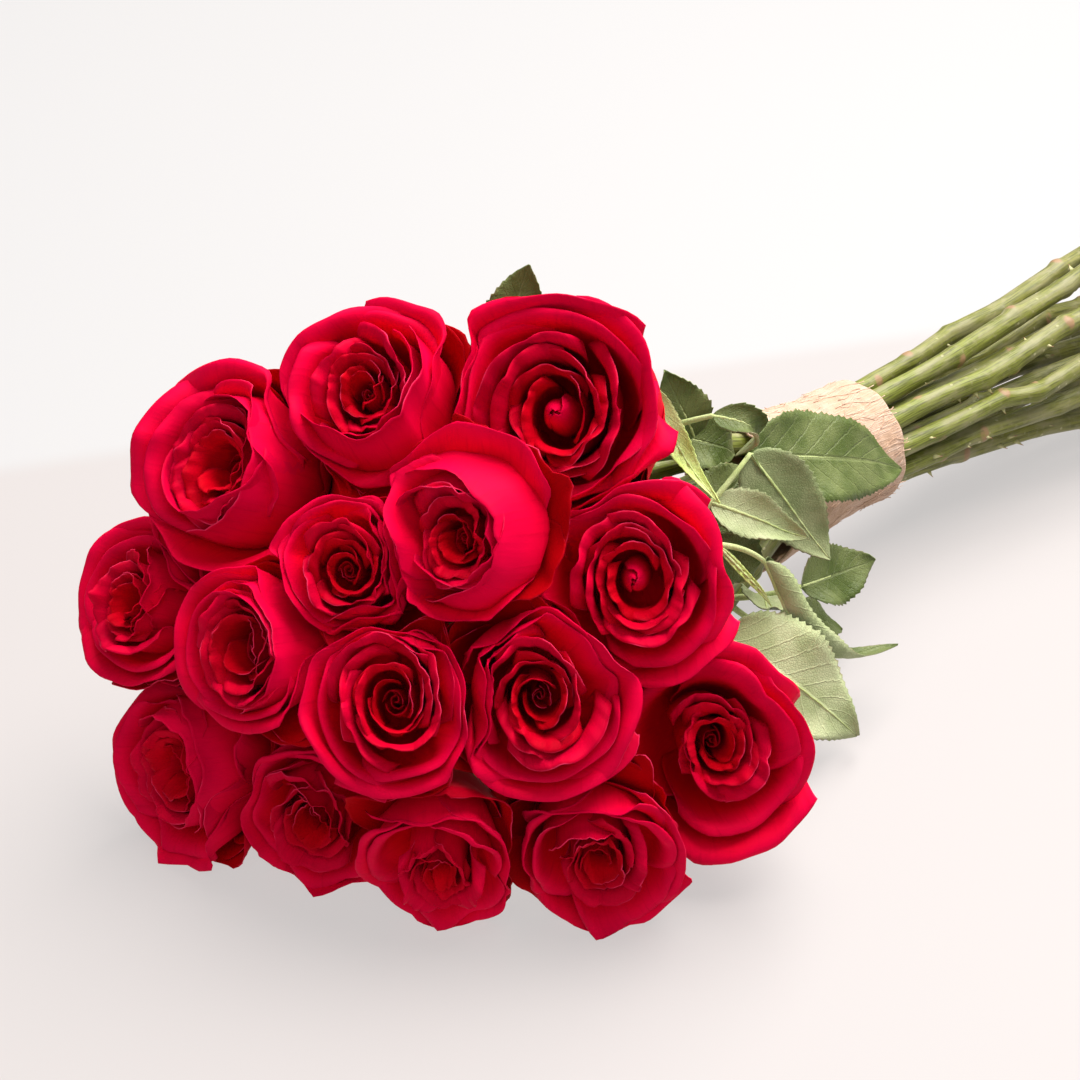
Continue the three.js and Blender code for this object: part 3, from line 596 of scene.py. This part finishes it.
def bezier_path(corners, count):
    """Points on the Bezier curve through its four corners, at even lengths."""
    t = np.linspace(0, 1, 400)[:, None]
    a, b, c, d = corners
    path = a * (1 - t) ** 3 + b * 3 * t * (1 - t) ** 2 + c * 3 * t * t * (1 - t) + d * t ** 3
    length = lengths(path)
    even = np.linspace(0, length[-1], count)
    return np.stack([np.interp(even, length, path[:, i]) for i in range(3)], axis=1)


def lengths(path):
    """How far along a path each of its points is."""
    return np.concatenate([[0], np.cumsum(np.linalg.norm(np.diff(path, axis=0), axis=1))])


def cuff_place(rose):
    """A stem's place in the cuff: how far from its axis, and where round it, in degrees. Five
    stems stand in the middle and ten round them."""
    ring, slot = rose["slot"]
    return (INNER_RING, 46 + 72 * slot) if ring == "inner" else (OUTER_RING, 28 + 36 * slot)


def head_curve(rose, count):
    """The stem from the hip to the cuff: straight back behind the head, then in one easy curve."""
    base, axis, *_ = head_frame(rose)
    radius, turn = cuff_place(rose)
    spoke = np.array([0, math.cos(math.radians(turn)), math.sin(math.radians(turn))])
    foot = base - 0.35 * axis
    bound = np.array([BOUND, 0, CUFF_HEIGHT]) + radius * spoke
    reach = np.linalg.norm(bound - foot)
    away = np.array([-1.0, 0, 0]) + 0.075 * radius / OUTER_RING * spoke
    neck = foot - rose.get("neck", 0.36) * reach * axis
    return bezier_path([foot, neck, bound + 0.45 * reach * away, bound], count)


def tail_points(rose, share):
    """The stem behind the cuff: the stems stand further apart and turn round each other down to the
    floor, on which two of them lie."""
    radius, turn = cuff_place(rose)
    wider = radius * (1 + 1.3 * share ** 1.15)
    around = np.radians(turn - 28 * share)
    low = OUTER_RING * 2.3 * math.cos(math.radians(18)) + 5.2
    return np.stack([CUFF_RIM + (CUT - CUFF_RIM) * share, wider * np.cos(around),
                     CUFF_HEIGHT + (low - CUFF_HEIGHT) * share + wider * np.sin(around)], axis=1)


def ways(path):
    """The way ahead along a path, the level way across it, and the way square to both."""
    ahead = unit(np.gradient(path, axis=0))
    level = unit(np.cross(ahead, [0.0, 0.0, 1.0]))
    return ahead, level, np.cross(ahead, level)


def end_quads(sides):
    """The faces across a ring of this many points."""
    k = np.arange(sides // 2 - 1)
    return np.stack([k, k + 1, sides - k - 2, sides - k - 1], axis=1)


def tube(path, radius, sides):
    """A closed tube: a ring of points at each station of the path, square to the way it runs there,
    and quads across both ends. The radius is given at each station, or each station and side."""
    _, level, upright = ways(path)
    turn = (2 * np.pi * np.arange(sides) / sides)[:, None]
    ring = level[:, None] * np.cos(turn) + upright[:, None] * np.sin(turn)
    points = path[:, None] + ring * np.reshape(radius, (len(path), -1, 1))
    number = np.arange(len(path) * sides).reshape(len(path), sides)
    cap, skin = end_quads(sides), quads(np.pad(number, ((0, 0), (0, 1)), mode="wrap"))
    return points.reshape(-1, 3), np.concatenate([skin, cap[:, ::-1], cap + number[-1, 0]])


def gathered(parts):
    """Puts meshes into one: each part is its points, its faces and its values on the points."""
    shift = np.cumsum([0] + [len(points) for points, *_ in parts])
    points, faces, *values = zip(*parts)
    faces = [held + start for held, start in zip(faces, shift)]
    return [np.concatenate(held) for held in (points, faces, *values)]


def as_rows(*values):
    """Three arrays, stretched to one shape, as rows of vectors."""
    return np.stack(np.broadcast_arrays(*values), axis=-1).reshape(-1, 3)


def stem_mesh(number, rose, draw):
    """The stem's own tube. It bends a little at each knee, and swells there at the side of the
    scar. Values: its skin unrolled (round it twice, and along it, in mm), how near a scar is, and
    how far in on the cut. Returns the mesh, the path, its radius, and the lengths along it."""
    head = head_curve(rose, 170)
    tail = tail_points(rose, np.linspace(0, 1, 160))
    tail[:, 0] -= UNEVEN * abs(math.sin(7 * int(number))) * np.linspace(0, 1, 160) ** 2
    inside = head[-1] + (tail[0] - head[-1]) * np.linspace(0, 1, 22)[1:-1, None]
    path = np.concatenate([head, inside, tail])
    length = lengths(path)
    bound, rim, end = length[len(head) - 1], length[len(head) + 20], length[-1]
    thin = 4.5 + 0.35 * math.sin(5 * int(number))
    radius = np.interp(length, [0, 1.5, 3.6, 6, 9, 14, bound, rim, rim + 28, end],
                       [4.5, 5.1, 5.4, 4.7, 3.3, 2.95, 4.9, 4.7, thin, thin + 0.4])
    free = step(length, 20, 60) * (1 - step(length, bound - 60, bound - 8))
    free = free + step(length, rim + 8, rim + 60)
    knees = np.concatenate([np.arange(draw.uniform(45, 70), bound - 20, 52),
                            np.arange(rim + draw.uniform(8, 30), end - 16, 36)])
    knees = knees + draw.uniform(-10, 10, len(knees))
    near = np.exp(-((length[:, None] - knees) / KNEE_WIDTH) ** 2).sum(axis=1)
    bends = np.interp(length, knees, draw.uniform(-2.8, 2.8, len(knees)))
    sways = np.interp(length, knees, draw.uniform(-2.6, 2.6, len(knees)))
    path = path + free[:, None] * np.stack([0 * bends, bends, sways], axis=1)
    path[:, 2] = np.maximum(path[:, 2], radius + 0.7 * near + 0.1)
    turn = 2 * np.pi * np.arange(STEM_SIDES) / STEM_SIDES
    phase = draw.uniform(0, 6.28, 3)
    scar = np.maximum(np.cos(turn + phase[0] + 2.4 * length[:, None] / 44), -0.2)
    swell = (near * (1 - 0.8 * (1 - free)))[:, None] * (0.45 + 0.75 * scar)
    ridge = np.sin(2 * turn + phase[1] + length[:, None] / 23) + 0.6 * np.sin(5 * turn + phase[2])
    rings = radius[:, None] + swell + 0.28 * free[:, None] * ridge
    ahead = unit(path[-1] - path[-2])
    cut = path[-1] + ahead * np.array([0.25, 0.4, 0.42, 0.43, 0.44])[:, None]
    shrink = np.array([0.97, 0.9, 0.6, 0.3, 0.02])
    path = np.concatenate([path, cut])
    rings = np.concatenate([rings, rings[-1] * shrink[:, None]])
    points, faces = tube(path, rings, STEM_SIDES)
    along = np.concatenate([length, end + 5 * (1 - shrink)])[:, None]
    inwards = np.concatenate([0 * length, 1.02 - shrink])[:, None]
    scar = near[:, None] * (0.15 + 0.85 * np.maximum(scar, 0) ** 2)
    scar = np.concatenate([scar, np.zeros((len(cut), STEM_SIDES))])
    skin = as_rows(5 * np.cos(turn), 5 * np.sin(turn), along)
    mesh = points, faces, skin, as_rows(scar, inwards, 0 * turn)
    return mesh, path, rings.mean(axis=1), length, (bound, rim, end)


def thorn_meshes(path, radius, spots, turns, sizes):
    """Thorns with a long foot on the stem, which narrow to a point that hooks towards the cut end.
    Values as the stem's, with its third mark for how far out on the thorn."""
    ahead, level, upright = (way[spots] for way in ways(path))
    out = level * np.cos(turns)[:, None] + upright * np.sin(turns)[:, None]
    beside = np.cross(ahead, out)
    ahead, out, beside, foot = (one[:, None, None] for one in (ahead, out, beside, path[spots]))
    t = np.linspace(0, 1, 7)[None, :, None, None]
    around = 2 * np.pi * np.arange(8)[None, None, :, None] / 8
    size, radius = sizes[:, None, None, None], radius[spots][:, None, None, None]
    points = foot + out * (radius - 1.1 + (size + 1.1) * t) + ahead * 0.45 * size * t * t
    points = points + ahead * np.cos(around) * (0.62 * size * (1 - t) ** 1.4 + 0.1)
    points = points - beside * np.sin(around) * (0.36 * size * (1 - t) ** 1.2 + 0.1)
    number = np.arange(len(spots) * 56).reshape(-1, 7, 8)
    skin = quads(np.pad(number, ((0, 0), (0, 0), (0, 1)), mode="wrap"))
    cap = end_quads(8)
    ends = [held.reshape(-1, 4) for held in (number[:, -1][:, cap], number[:, 0][:, cap[:, ::-1]])]
    points, marks = points.reshape(-1, 3), as_rows(0, 0, t[..., 0] + 0 * number)
    return points, np.concatenate([skin, *ends]), points, marks


def stem_skin(name):
    """Olive green with long fibres, paler dusty patches, brown at the knees, small pale pores that
    stand out a little, and a cream pith with a green rim on the cut. The thorns are pale, with
    brown points."""
    material, tree, shader = surface(name, 0.5, Specular_IOR_Level=0.35)
    skin = node(tree, "ShaderNodeAttribute", attribute_name="skin").outputs["Vector"]
    knee, inwards, out = on_points(tree, "marks")
    ribs, fibre = placed(grain, tree, Skin=skin, Stretch=(1, 1, 0.05), Scale=1.4, Detail=4,
                         Low=0.35, High=0.7)
    cloud, patch = placed(grain, tree, Skin=skin, Stretch=(1, 1, 0.3), Scale=0.17, Detail=3,
                          Low=0.45, High=0.65)
    dust = noise(skin, 0.3, 5)
    pore = node(tree, "ShaderNodeTexVoronoi", {"Vector": skin, "Scale": 0.16}).outputs["Distance"]
    older = fade(on_points(tree, "skin")[2], 150.0, 420.0)
    spot = times(inverse(fade(pore, 0.08, 0.15)), fade(cloud, 0.42, 0.6))
    scar = times(fade(knee, 0.45, 0.8), fade(dust, 0.3, 0.5))
    pith = layered((0.42, 0.48, 0.20), (fade(inwards, 0.35, 0.55), (0.80, 0.78, 0.58)))
    green = layered((0.20, 0.235, 0.03), (older, (0.185, 0.185, 0.028)),
                    (fibre, (0.07, 0.078, 0.010)), (patch, (0.26, 0.245, 0.12), 0.65),
                    (fade(dust, 0.5, 0.7), (0.27, 0.24, 0.13), 0.35),
                    (spot, (0.52, 0.50, 0.28), 0.6), (scar, (0.30, 0.17, 0.09), 0.85),
                    (fade(out, 0.1, 0.5), (0.48, 0.46, 0.22)),
                    (fade(out, 0.6, 1.0), (0.33, 0.14, 0.08)), (fade(inwards, 0.08, 0.14), pith))
    finish(shader, green, maths("ADD", ribs, times(spot, 0.8)), 0.5, 0.0005)
    return material


green_skin = stem_skin("green_skin")
for number, rose in ROSES.items():
    draw = np.random.default_rng(300 + int(number))
    stem, path, radius, length, (bound, rim, end) = stem_mesh(number, rose, draw)
    thorns = np.concatenate([draw.uniform(60, bound - 30, 6), draw.uniform(rim + 12, end - 14, 9)])
    spots = np.searchsorted(length, thorns)
    sizes = np.where(thorns > bound, draw.uniform(0.9, 3.4, 15), draw.uniform(1.6, 3.6, 15))
    thorn = thorn_meshes(path, radius, spots, draw.uniform(-0.6, 3.7, 15), sizes)
    points, faces, skin, marks = gathered([stem, thorn])
    stalk = make_piece("stalk_" + number, points, faces, green_skin, skin=skin, marks=marks)
    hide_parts("stem_" + number)


# ---- Sepals --------------------------------------------------------------------------------
# Five narrow green sepals under each head, which grow from the top of its hip and bend back along
# the stem. They are thin, a little cupped, and end in long points that curl.
SEPAL_ROWS, SEPAL_THICK = 24, 0.45


def leaf_marks(rows, sheets, tone, pale):
    """Values for sheets of this many rows, 11 points across: across, along and tone, and then which
    face is the underside."""
    shape = (sheets, 2, rows, 11)
    across, along = np.linspace(-1, 1, 11), np.linspace(0, 1, rows)[:, None]
    tone, pale = (np.reshape(value, (-1, 1, 1, 1)) + np.zeros(shape) for value in (tone, pale))
    under = np.abs(np.array([0, 1])[:, None, None] - pale)
    return as_rows(across, along, tone), as_rows(under, under, under)


def leaf_green(name):
    """Both faces of leaves and sepals. The top is deep grey green, with a waxy sheen, paler along
    its veins, and the underside a pale, matt sage with veins that stand out. Side veins leave the
    midrib in pairs and run forward to the edge, which is dry and brown in spots. Young ones are a
    fresh yellow green."""
    material, tree, shader = surface(name, 0.45, Specular_IOR_Level=0.22)
    across, along, tone = on_points(tree, "marks")
    under = on_points(tree, "under")[0]
    place = node(tree, "ShaderNodeTexCoord").outputs["Object"]
    cloud = noise(place, 70, 4)
    fine = node(tree, "ShaderNodeTexVoronoi", {"Vector": place, "Scale": 900},
                feature="DISTANCE_TO_EDGE").outputs["Distance"]
    side = maths("ABSOLUTE", across)
    bent = maths("ADD", times(along, 9.0), times(maths("POWER", side, 0.8), -2.2))
    pair = maths("ABSOLUTE", maths("SUBTRACT", maths("FRACT", bent), 0.5))
    ribs = times(inverse(fade(pair, 0.0, 0.09)), inverse(fade(side, 0.8, 1.0)))
    vein = maths("MAXIMUM", times(ribs, 0.6), inverse(fade(side, 0.02, 0.07)))
    mottled = fade(cloud, 0.35, 0.68)
    top = layered((0.07, 0.10, 0.02), (mottled, (0.15, 0.18, 0.06)),
                  (vein, (0.24, 0.27, 0.11), 0.3))
    back = layered((0.31, 0.36, 0.17), (mottled, (0.43, 0.47, 0.26)),
                   (vein, (0.54, 0.57, 0.32), 0.4))
    fresh = layered((0.44, 0.57, 0.12), (fade(cloud, 0.3, 0.7), (0.64, 0.74, 0.30)))
    dry = placed(dry_rim, tree, Rim=side, Start=0.93, Cloud=cloud, Full=0.62)["Mask"]
    green = layered(top, (under, back), (fade(tone, 0.6, 1.0), fresh),
                    (fade(fine, 0.12, 0.0), (0.05, 0.09, 0.03), 0.18),
                    (dry, (0.16, 0.10, 0.05), 0.6))
    tree.links.new(maths("ADD", 0.42, times(under, 0.3)), shader.inputs["Roughness"])
    height = times(maths("SUBTRACT", times(under, 2.0), 1.0), vein)
    height = maths("ADD", height, times(fade(fine, 0.0, 0.2), 0.25))
    finish(shader, green, height, 0.6, 0.0006)
    return material


leaf_face = leaf_green("leaf_green")
t = np.linspace(0, 1, SEPAL_ROWS)
side = np.linspace(-1, 1, 11)[:, None]
wide = (3.3 * (1 - t) ** 0.8 * (0.75 + 0.9 * t) + 0.15)[:, None, None]
for number, rose in ROSES.items():
    draw = np.random.default_rng(500 + int(number))
    base, axis, right, up, _ = head_frame(rose)
    sheets = []
    for k in range(5):
        turn = math.radians(rose["roll"] + 72 * k) + draw.uniform(-0.15, 0.15)
        out = right * math.cos(turn) + up * math.sin(turn)
        long = draw.uniform(0.9, 1.35)
        midrib = bezier_path([base + 4.4 * out + 0.6 * axis, base + (9 * out - 0.5 * axis) * long,
                              base + (14 * out - 5 * axis) * long,
                              base + (16 * out - draw.uniform(9, 16) * axis) * long], SEPAL_ROWS)
        beside = np.cross(out, axis)
        ahead = np.gradient(midrib, axis=0)
        lift = unit(np.cross(np.broadcast_to(beside, ahead.shape), ahead))[:, None]
        curl = (draw.uniform(-5, 5) * t ** 3)[:, None, None]
        cupped = 0.9 * side ** 2 * wide + curl
        sheets.append(midrib[:, None] + side * wide * beside + cupped * lift)
    sheets = np.array(sheets)
    sheets[..., 2] = np.maximum(sheets[..., 2], FLOOR_GAP)
    points, faces = closed_sheets(sheets, SEPAL_THICK)
    marks, under = leaf_marks(SEPAL_ROWS, 5, draw.uniform(0.62, 0.85, 5), 0)
    sepals = make_piece("sepals_" + number, points, faces, leaf_face, marks=marks, under=under)
    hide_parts("stem_" + number)


# ---- Leaves --------------------------------------------------------------------------------
# The leaves left on the stems in front of the cuff. Each has a round green stalk and one to three
# blades with toothed edges, arched, cupped and curled by the days out of water.
LEAF_ROWS, LEAF_THICK = 81, 0.4
TOOTH_PITCH, SIDE_VEINS = 2.9, 9

# Each row: the rose whose stem carries the leaf, how far from its hip, and where the stalk runs on.
# Then the blades: the stalk's point where each grows, its tip, the way its face looks, its width,
# arch, fold and hook, how much of its pale underside shows, and its tone, if that is set.
LEAVES = (
    ("06", 0.4, ((-120, -44, 94), (-94, -38, 103)), (
        (2, (-3, -41, 63), (-0.3, -0.65, 0.7), 48, 4, 0.25, -2),
        (2, (-77, -66, 62), (-0.5, -0.55, 0.65), 38, 3, 0.4, 3, 0.5),
        (1, (-93, -66, 76), (-0.3, -0.6, 0.7), 26, 5, 1.0, 6, 1))),
    ("06", 0.2, ((-132, -60, 88), (-114, -68, 77)), (
        (2, (-71, -89, 12), (0.25, 0.2, 0.95), 30, -7, 2.4, 13),
        (1, (-117, -79, 62), (-0.4, -0.8, 0.4), 4, 3, 0.8, -4, 1, 1),
        (1, (-121, -72, 71), (-0.4, -0.8, 0.4), 4, 1, 0.8, -3, 1, 1))),
    ("11", 0.2, ((-140, -66, 50), (-136, -70, 54)), (
        (2, (-97, -109, 9), (-0.2, -0.8, 0.6), 56, 3, 0.25, -2, 1),)),
    ("11", 0.5, ((-92, -46, 40), (-79, -56, 44)), (
        (2, (-39, -55, 38), (-0.4, -0.7, 0.6), 32, 3, 0.5, 3),
        (1, (-109, -67, 47), (-0.5, -0.7, 0.5), 26, 3, 0.5, 3, 1))),
    ("02", 0.34, ((-116, -22, 118), (-110, -33, 124)), (
        (2, (-94, -42, 107), (-0.2, -0.5, 0.8), 22, 9, 1.4, -9),)),
    ("02", 0.08, ((-146, -22, 140), (-137, -27, 143)), (
        (2, (-128, -53, 102), (-0.3, -0.8, 0.4), 14, -5, 1.2, 5, 1, 1),)),
    ("02", 0.42, ((-108, -10, 104), (-106, -19, 107)), (
        (2, (-115, -8, 136), (-0.4, -0.8, 0.4), 28, 3, 0.7, 3),
        (1, (-128, -22, 112), (-0.5, -0.7, 0.5), 26, 3, 0.4, 2, 1),
        (1, (-83, -22, 92), (-0.4, -0.6, 0.6), 30, 3, 0.6, -3))),
    ("10", 0.5, ((-122, -30, 74), (-118, -38, 80)), (
        (2, (-86, -30, 92), (-0.4, -0.7, 0.5), 34, 3, 0.5, -3),
        (2, (-98, -50, 52), (-0.5, -0.7, 0.5), 34, 3, 0.4, -3),
        (1, (-132, -50, 60), (-0.5, -0.7, 0.5), 30, 3, 0.4, 2))),
    ("09", 0.1, ((-240, -24, 62), (-234, -18, 68)), (
        (2, (-228, 2, 100), (-0.5, -0.6, 0.6), 34, 2, 0.3, 0),)),
    ("14", 0.1, ((-246, -52, 40), (-244, -58, 34)), (
        (2, (-244, -86, 10), (-0.5, -0.6, 0.6), 36, 2, 0.3, 0),
        (1, (-226, -46, 6), (-0.5, -0.6, 0.6), 38, 2, 0.3, 0))),
    ("01", 0.14, ((-180, 34, 128), (-160, 34, 140)), (
        (2, (-145, 35, 174), (-0.4, -0.7, 0.3), 33, 3, 0.5, 3),)),
    ("03", 0.34, ((-168, 56, 86), (-146, 66, 92)), (
        (2, (-96, 88, 84), (-0.2, 0.4, 0.9), 34, 7, 0.4, -4),
        (1, (-166, 100, 84), (0, 0.4, 0.9), 28, 5, 0.5, -3),
        (1, (-128, 46, 108), (-0.3, 0.2, 0.9), 26, 5, 0.4, 2))),
    ("07", 0.42, ((-166, 62, 38), (-144, 76, 38)), (
        (2, (-92, 98, 26), (-0.1, 0.5, 0.9), 36, 8, 0.5, -4),
        (1, (-176, 106, 28), (-0.1, 0.4, 0.9), 29, 6, 0.4, 3))),
    ("12", 0.5, ((-138, 40, 14), (-120, 50, 13)), (
        (2, (-64, 66, 5), (0, 0.3, 1), 34, 9, 0.3, 0),
        (1, (-150, 84, 6), (0, 0.3, 1), 27, 7, 0.3, 0))),
    ("15", 0.62, ((-92, -40, 26), (-80, -46, 18)), (
        (2, (-48, -52, 6), (-0.1, -0.3, 1), 28, 6, 0.4, 0),)),
)


def toothed(share, teeth):
    """Half the width of a blade along its length, over its greatest: it swells fast, narrows slowly
    to a sharp point, and has this many teeth, whose tips lean forward."""
    oval = share ** 0.55 * (1 - share) ** 0.98 * 2.15
    tooth = (teeth * share) % 1.0
    return oval * (0.95 + 0.09 * tooth ** 1.6) + 0.012


def blade_sheet(foot, tip, face, wide, arch, fold, hook, draw):
    """The middle surface of a blade, 11 points across, and its normal. Its midline runs from foot
    to tip, and is raised by half a sine wave, arch high, and by a hook that grows past six tenths.
    Across it is an arc that turns by the angle fold to each side. Waves ripple its edges, and the
    leaf bulges between its side veins."""
    share, side = np.linspace(0, 1, LEAF_ROWS), np.linspace(-1, 1, 11)
    ahead = tip - foot
    half = 0.5 * wide * toothed(share, round(np.linalg.norm(ahead) / TOOTH_PITCH))[:, None]
    rise = arch * np.sin(np.pi * share) + hook * step(share, 0.6, 1.15) ** 1.5 * 2
    rise = rise + 0.4 * np.sin(9 * share + draw.uniform(0, 6))
    fold = fold * (0.8 + 0.35 * np.sin(5 * share + draw.uniform(0, 6)))
    fold, share = np.maximum(fold, 0.02)[:, None], share[:, None]
    ripple = 0.035 * wide * np.sin(13 * share + 1.5 * side + draw.uniform(0, 6)) * side ** 2
    bulge = np.cos(2 * np.pi * (SIDE_VEINS * share - 2.2 * np.abs(side) ** 0.8))
    bulge = 0.28 * bulge * (1 - side ** 4) * np.sin(np.pi * share)
    across = unit(np.cross(ahead, face))
    normal = unit(np.cross(across, ahead))
    out = half * np.sin(side * fold) / fold
    lift = rise[:, None] + half * (1 - np.cos(side * fold)) / fold + ripple + bulge
    sheet = foot + share[..., None] * ahead + out[..., None] * across + lift[..., None] * normal
    sheet[..., 2] = np.maximum(sheet[..., 2], FLOOR_GAP)
    return sheet, normal


for carrier, on_stem, stalk, blades in LEAVES:
    draw = np.random.default_rng(int(carrier) * 10 + len(blades) + int(100 * on_stem))
    first = head_curve(ROSES[carrier], 201)[round(200 * on_stem)]
    knots = np.array([first, *stalk], dtype=float)
    t = np.linspace(0, 2, 24)[:, None]
    curve = knots[0] * (t - 1) * (t - 2) / 2 - knots[1] * t * (t - 2) + knots[2] * t * (t - 1) / 2
    rods = [tube(curve, np.linspace(1.5, 1.0, 24), 8)]
    sheets, pales, tones = [], [], []
    for at, tip, face, wide, arch, fold, hook, *more in blades:
        pale, tone = *more, *(0, None)[len(more):]
        sheet, normal = blade_sheet(knots[at], tip, face, wide, arch, fold, hook, draw)
        midrib = sheet[:-2, 5] + (0.25 if pale else -0.25) * normal
        midrib[:, 2] = np.maximum(midrib[:, 2], 0.8)
        rods.append(tube(midrib, np.linspace(0.75, 0.15, LEAF_ROWS - 2), 6))
        sheets.append(sheet)
        pales.append(pale)
        tones.append(tone)
    chance = draw.uniform(0, 0.5, len(blades))
    tones = [mixed if tone is None else tone for tone, mixed in zip(tones, chance)]
    marks, under = leaf_marks(LEAF_ROWS, len(sheets), tones, pales)
    parts = [(*closed_sheets(np.array(sheets), LEAF_THICK), marks, under)]
    for rod, faces in rods:
        parts.append((rod, faces, np.tile([0.0, 0.5, 0.78], (len(rod), 1)), np.ones((len(rod), 3))))
    points, faces, marks, under = gathered(parts)
    name = "leaf_%s_%d" % (carrier, round(100 * on_stem))
    spray = make_piece(name, points, faces, leaf_face, marks=marks, under=under)
    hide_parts("stem_" + carrier)


# ---- Cuff ----------------------------------------------------------------------------------
# A strip of stiff pressed plant fibre, wound once and a bit more round the stems, wider towards the
# heads. Its face is creased, with long fibres lying all ways in it, some of which stand out loose.
CUFF_INSIDE, CUFF_FAN, FAN_FROM = 24.86, 5.5, 30
CUFF_THICK, CUFF_TURN, THREADS = 1.0, 2 * np.pi + 0.55, 150


def cuff_skin(turn, along, off):
    """A point on the strip, off mm outside its middle. turn: round the cuff's axis, from its hidden
    end. along: from the tail rim towards the heads. The strip winds outwards by 1.3 mm a turn,
    widens past FAN_FROM, and is creased by waves that cross each other."""
    fan = CUFF_FAN * np.maximum(along - FAN_FROM, 0) / (CUFF_LENGTH - FAN_FROM)
    crease = (0.35 * np.sin(0.21 * along + 3 * turn + 1.4 * np.sin(2 * turn))
              + 0.3 * np.sin(0.4 * along - 5 * turn)
              + 0.2 * np.sin(1.1 * along + 4 * turn + np.sin(7 * turn))
              + 0.12 * np.sin(2.3 * along - 11 * turn))
    radius = CUFF_INSIDE + 0.9 + 1.3 * turn / (2 * np.pi) + fan + off + crease * 0.55
    angle = turn + math.radians(-150)
    return np.stack(np.broadcast_arrays(CUFF_RIM - along, radius * np.cos(angle),
                                        CUFF_HEIGHT + radius * np.sin(angle)), axis=-1)


def pressed_fibre(name):
    """Beige and matt, with pale and brown fibres in four directions that cross, flecks of bark, and
    a bump that follows the fibres."""
    material, tree, shader = surface(name, 0.85, Specular_IOR_Level=0.15, Sheen_Weight=0.15,
                                     Sheen_Tint=(1.0, 0.9, 0.75, 1))
    skin = node(tree, "ShaderNodeAttribute", attribute_name="skin").outputs["Vector"]
    fibres = None
    for turn, scale in ((0.5, 1.1), (-0.7, 1.3), (1.5, 0.9), (0.05, 1.7)):
        turned = node(tree, "ShaderNodeMapping", {"Vector": skin, "Rotation": (0, 0, turn),
                                                  "Scale": (0.06 * scale, 1.2 * scale, 1)})
        lines = placed(grain, tree, Skin=turned.outputs[0], Stretch=(1, 1, 1), Scale=1.0, Detail=3,
                       Warp=0.4, Low=0.52, High=0.72)["Mask"]
        fibres = lines if fibres is None else maths("MAXIMUM", fibres, lines)
    fleck = node(tree, "ShaderNodeTexVoronoi", {"Vector": skin, "Scale": 0.35}).outputs["Distance"]
    cloud = fade(noise(skin, 0.09, 4), 0.35, 0.68)
    beige = layered((0.54, 0.35, 0.235), (cloud, (0.63, 0.44, 0.33)),
                    (fibres, (0.70, 0.53, 0.42), 0.55),
                    (inverse(fade(fibres, 0.0, 0.35)), (0.42, 0.26, 0.17), 0.4),
                    (inverse(fade(fleck, 0.05, 0.12)), (0.36, 0.20, 0.10), 0.5))
    finish(shader, beige, fibres, 0.6, 0.0006)
    return material


fibre = pressed_fibre("pressed_fibre")
draw = np.random.default_rng(7)
turn, along = np.meshgrid(np.linspace(0, CUFF_TURN, 240), np.linspace(0, 1, 74))
ragged = 1.2 * np.sin(5 * turn) + 0.7 * np.sin(13 * turn + 1) + 0.35 * np.sin(41 * turn)
along = along * (CUFF_LENGTH + ragged * along) + (1 - along) ** 3 * 0.5 * np.sin(9 * turn + 2)
points, faces = closed_sheets(cuff_skin(turn, along, 0)[None], CUFF_THICK)
parts = [(points, faces, np.tile(as_rows(along, 26 * turn, 0 * turn), (2, 1)))]
t = np.linspace(0, 1, 14)
for k in range(THREADS):
    lead, slope = draw.uniform(0.2, 6.6), draw.uniform(-0.35, 0.35)
    first = draw.choice([-2.2, draw.uniform(0, 50)]) if k % 2 else draw.uniform(0, 50)
    thread_turn = lead + slope * t + 0.04 * np.sin(7 * t + k)
    thread_along = np.minimum(first + draw.uniform(10, 26) * t, CUFF_LENGTH + 1.5)
    off = 0.62 + 0.5 * np.maximum(np.abs(2 * t - 1) - 0.7, 0) * draw.uniform(0, 6)
    path, thick = cuff_skin(thread_turn, thread_along, off), draw.uniform(0.09, 0.2)
    thread = tube(path, np.full(14, thick), 6)
    spot = [draw.uniform(0, 60), draw.uniform(0, 60), 0]
    parts.append((*thread, np.tile(spot, (len(thread[0]), 1))))
points, faces, unrolled = gathered(parts)
cuff = make_piece("cuff_wrap", points, faces, fibre, skin=unrolled)
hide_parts("cuff")
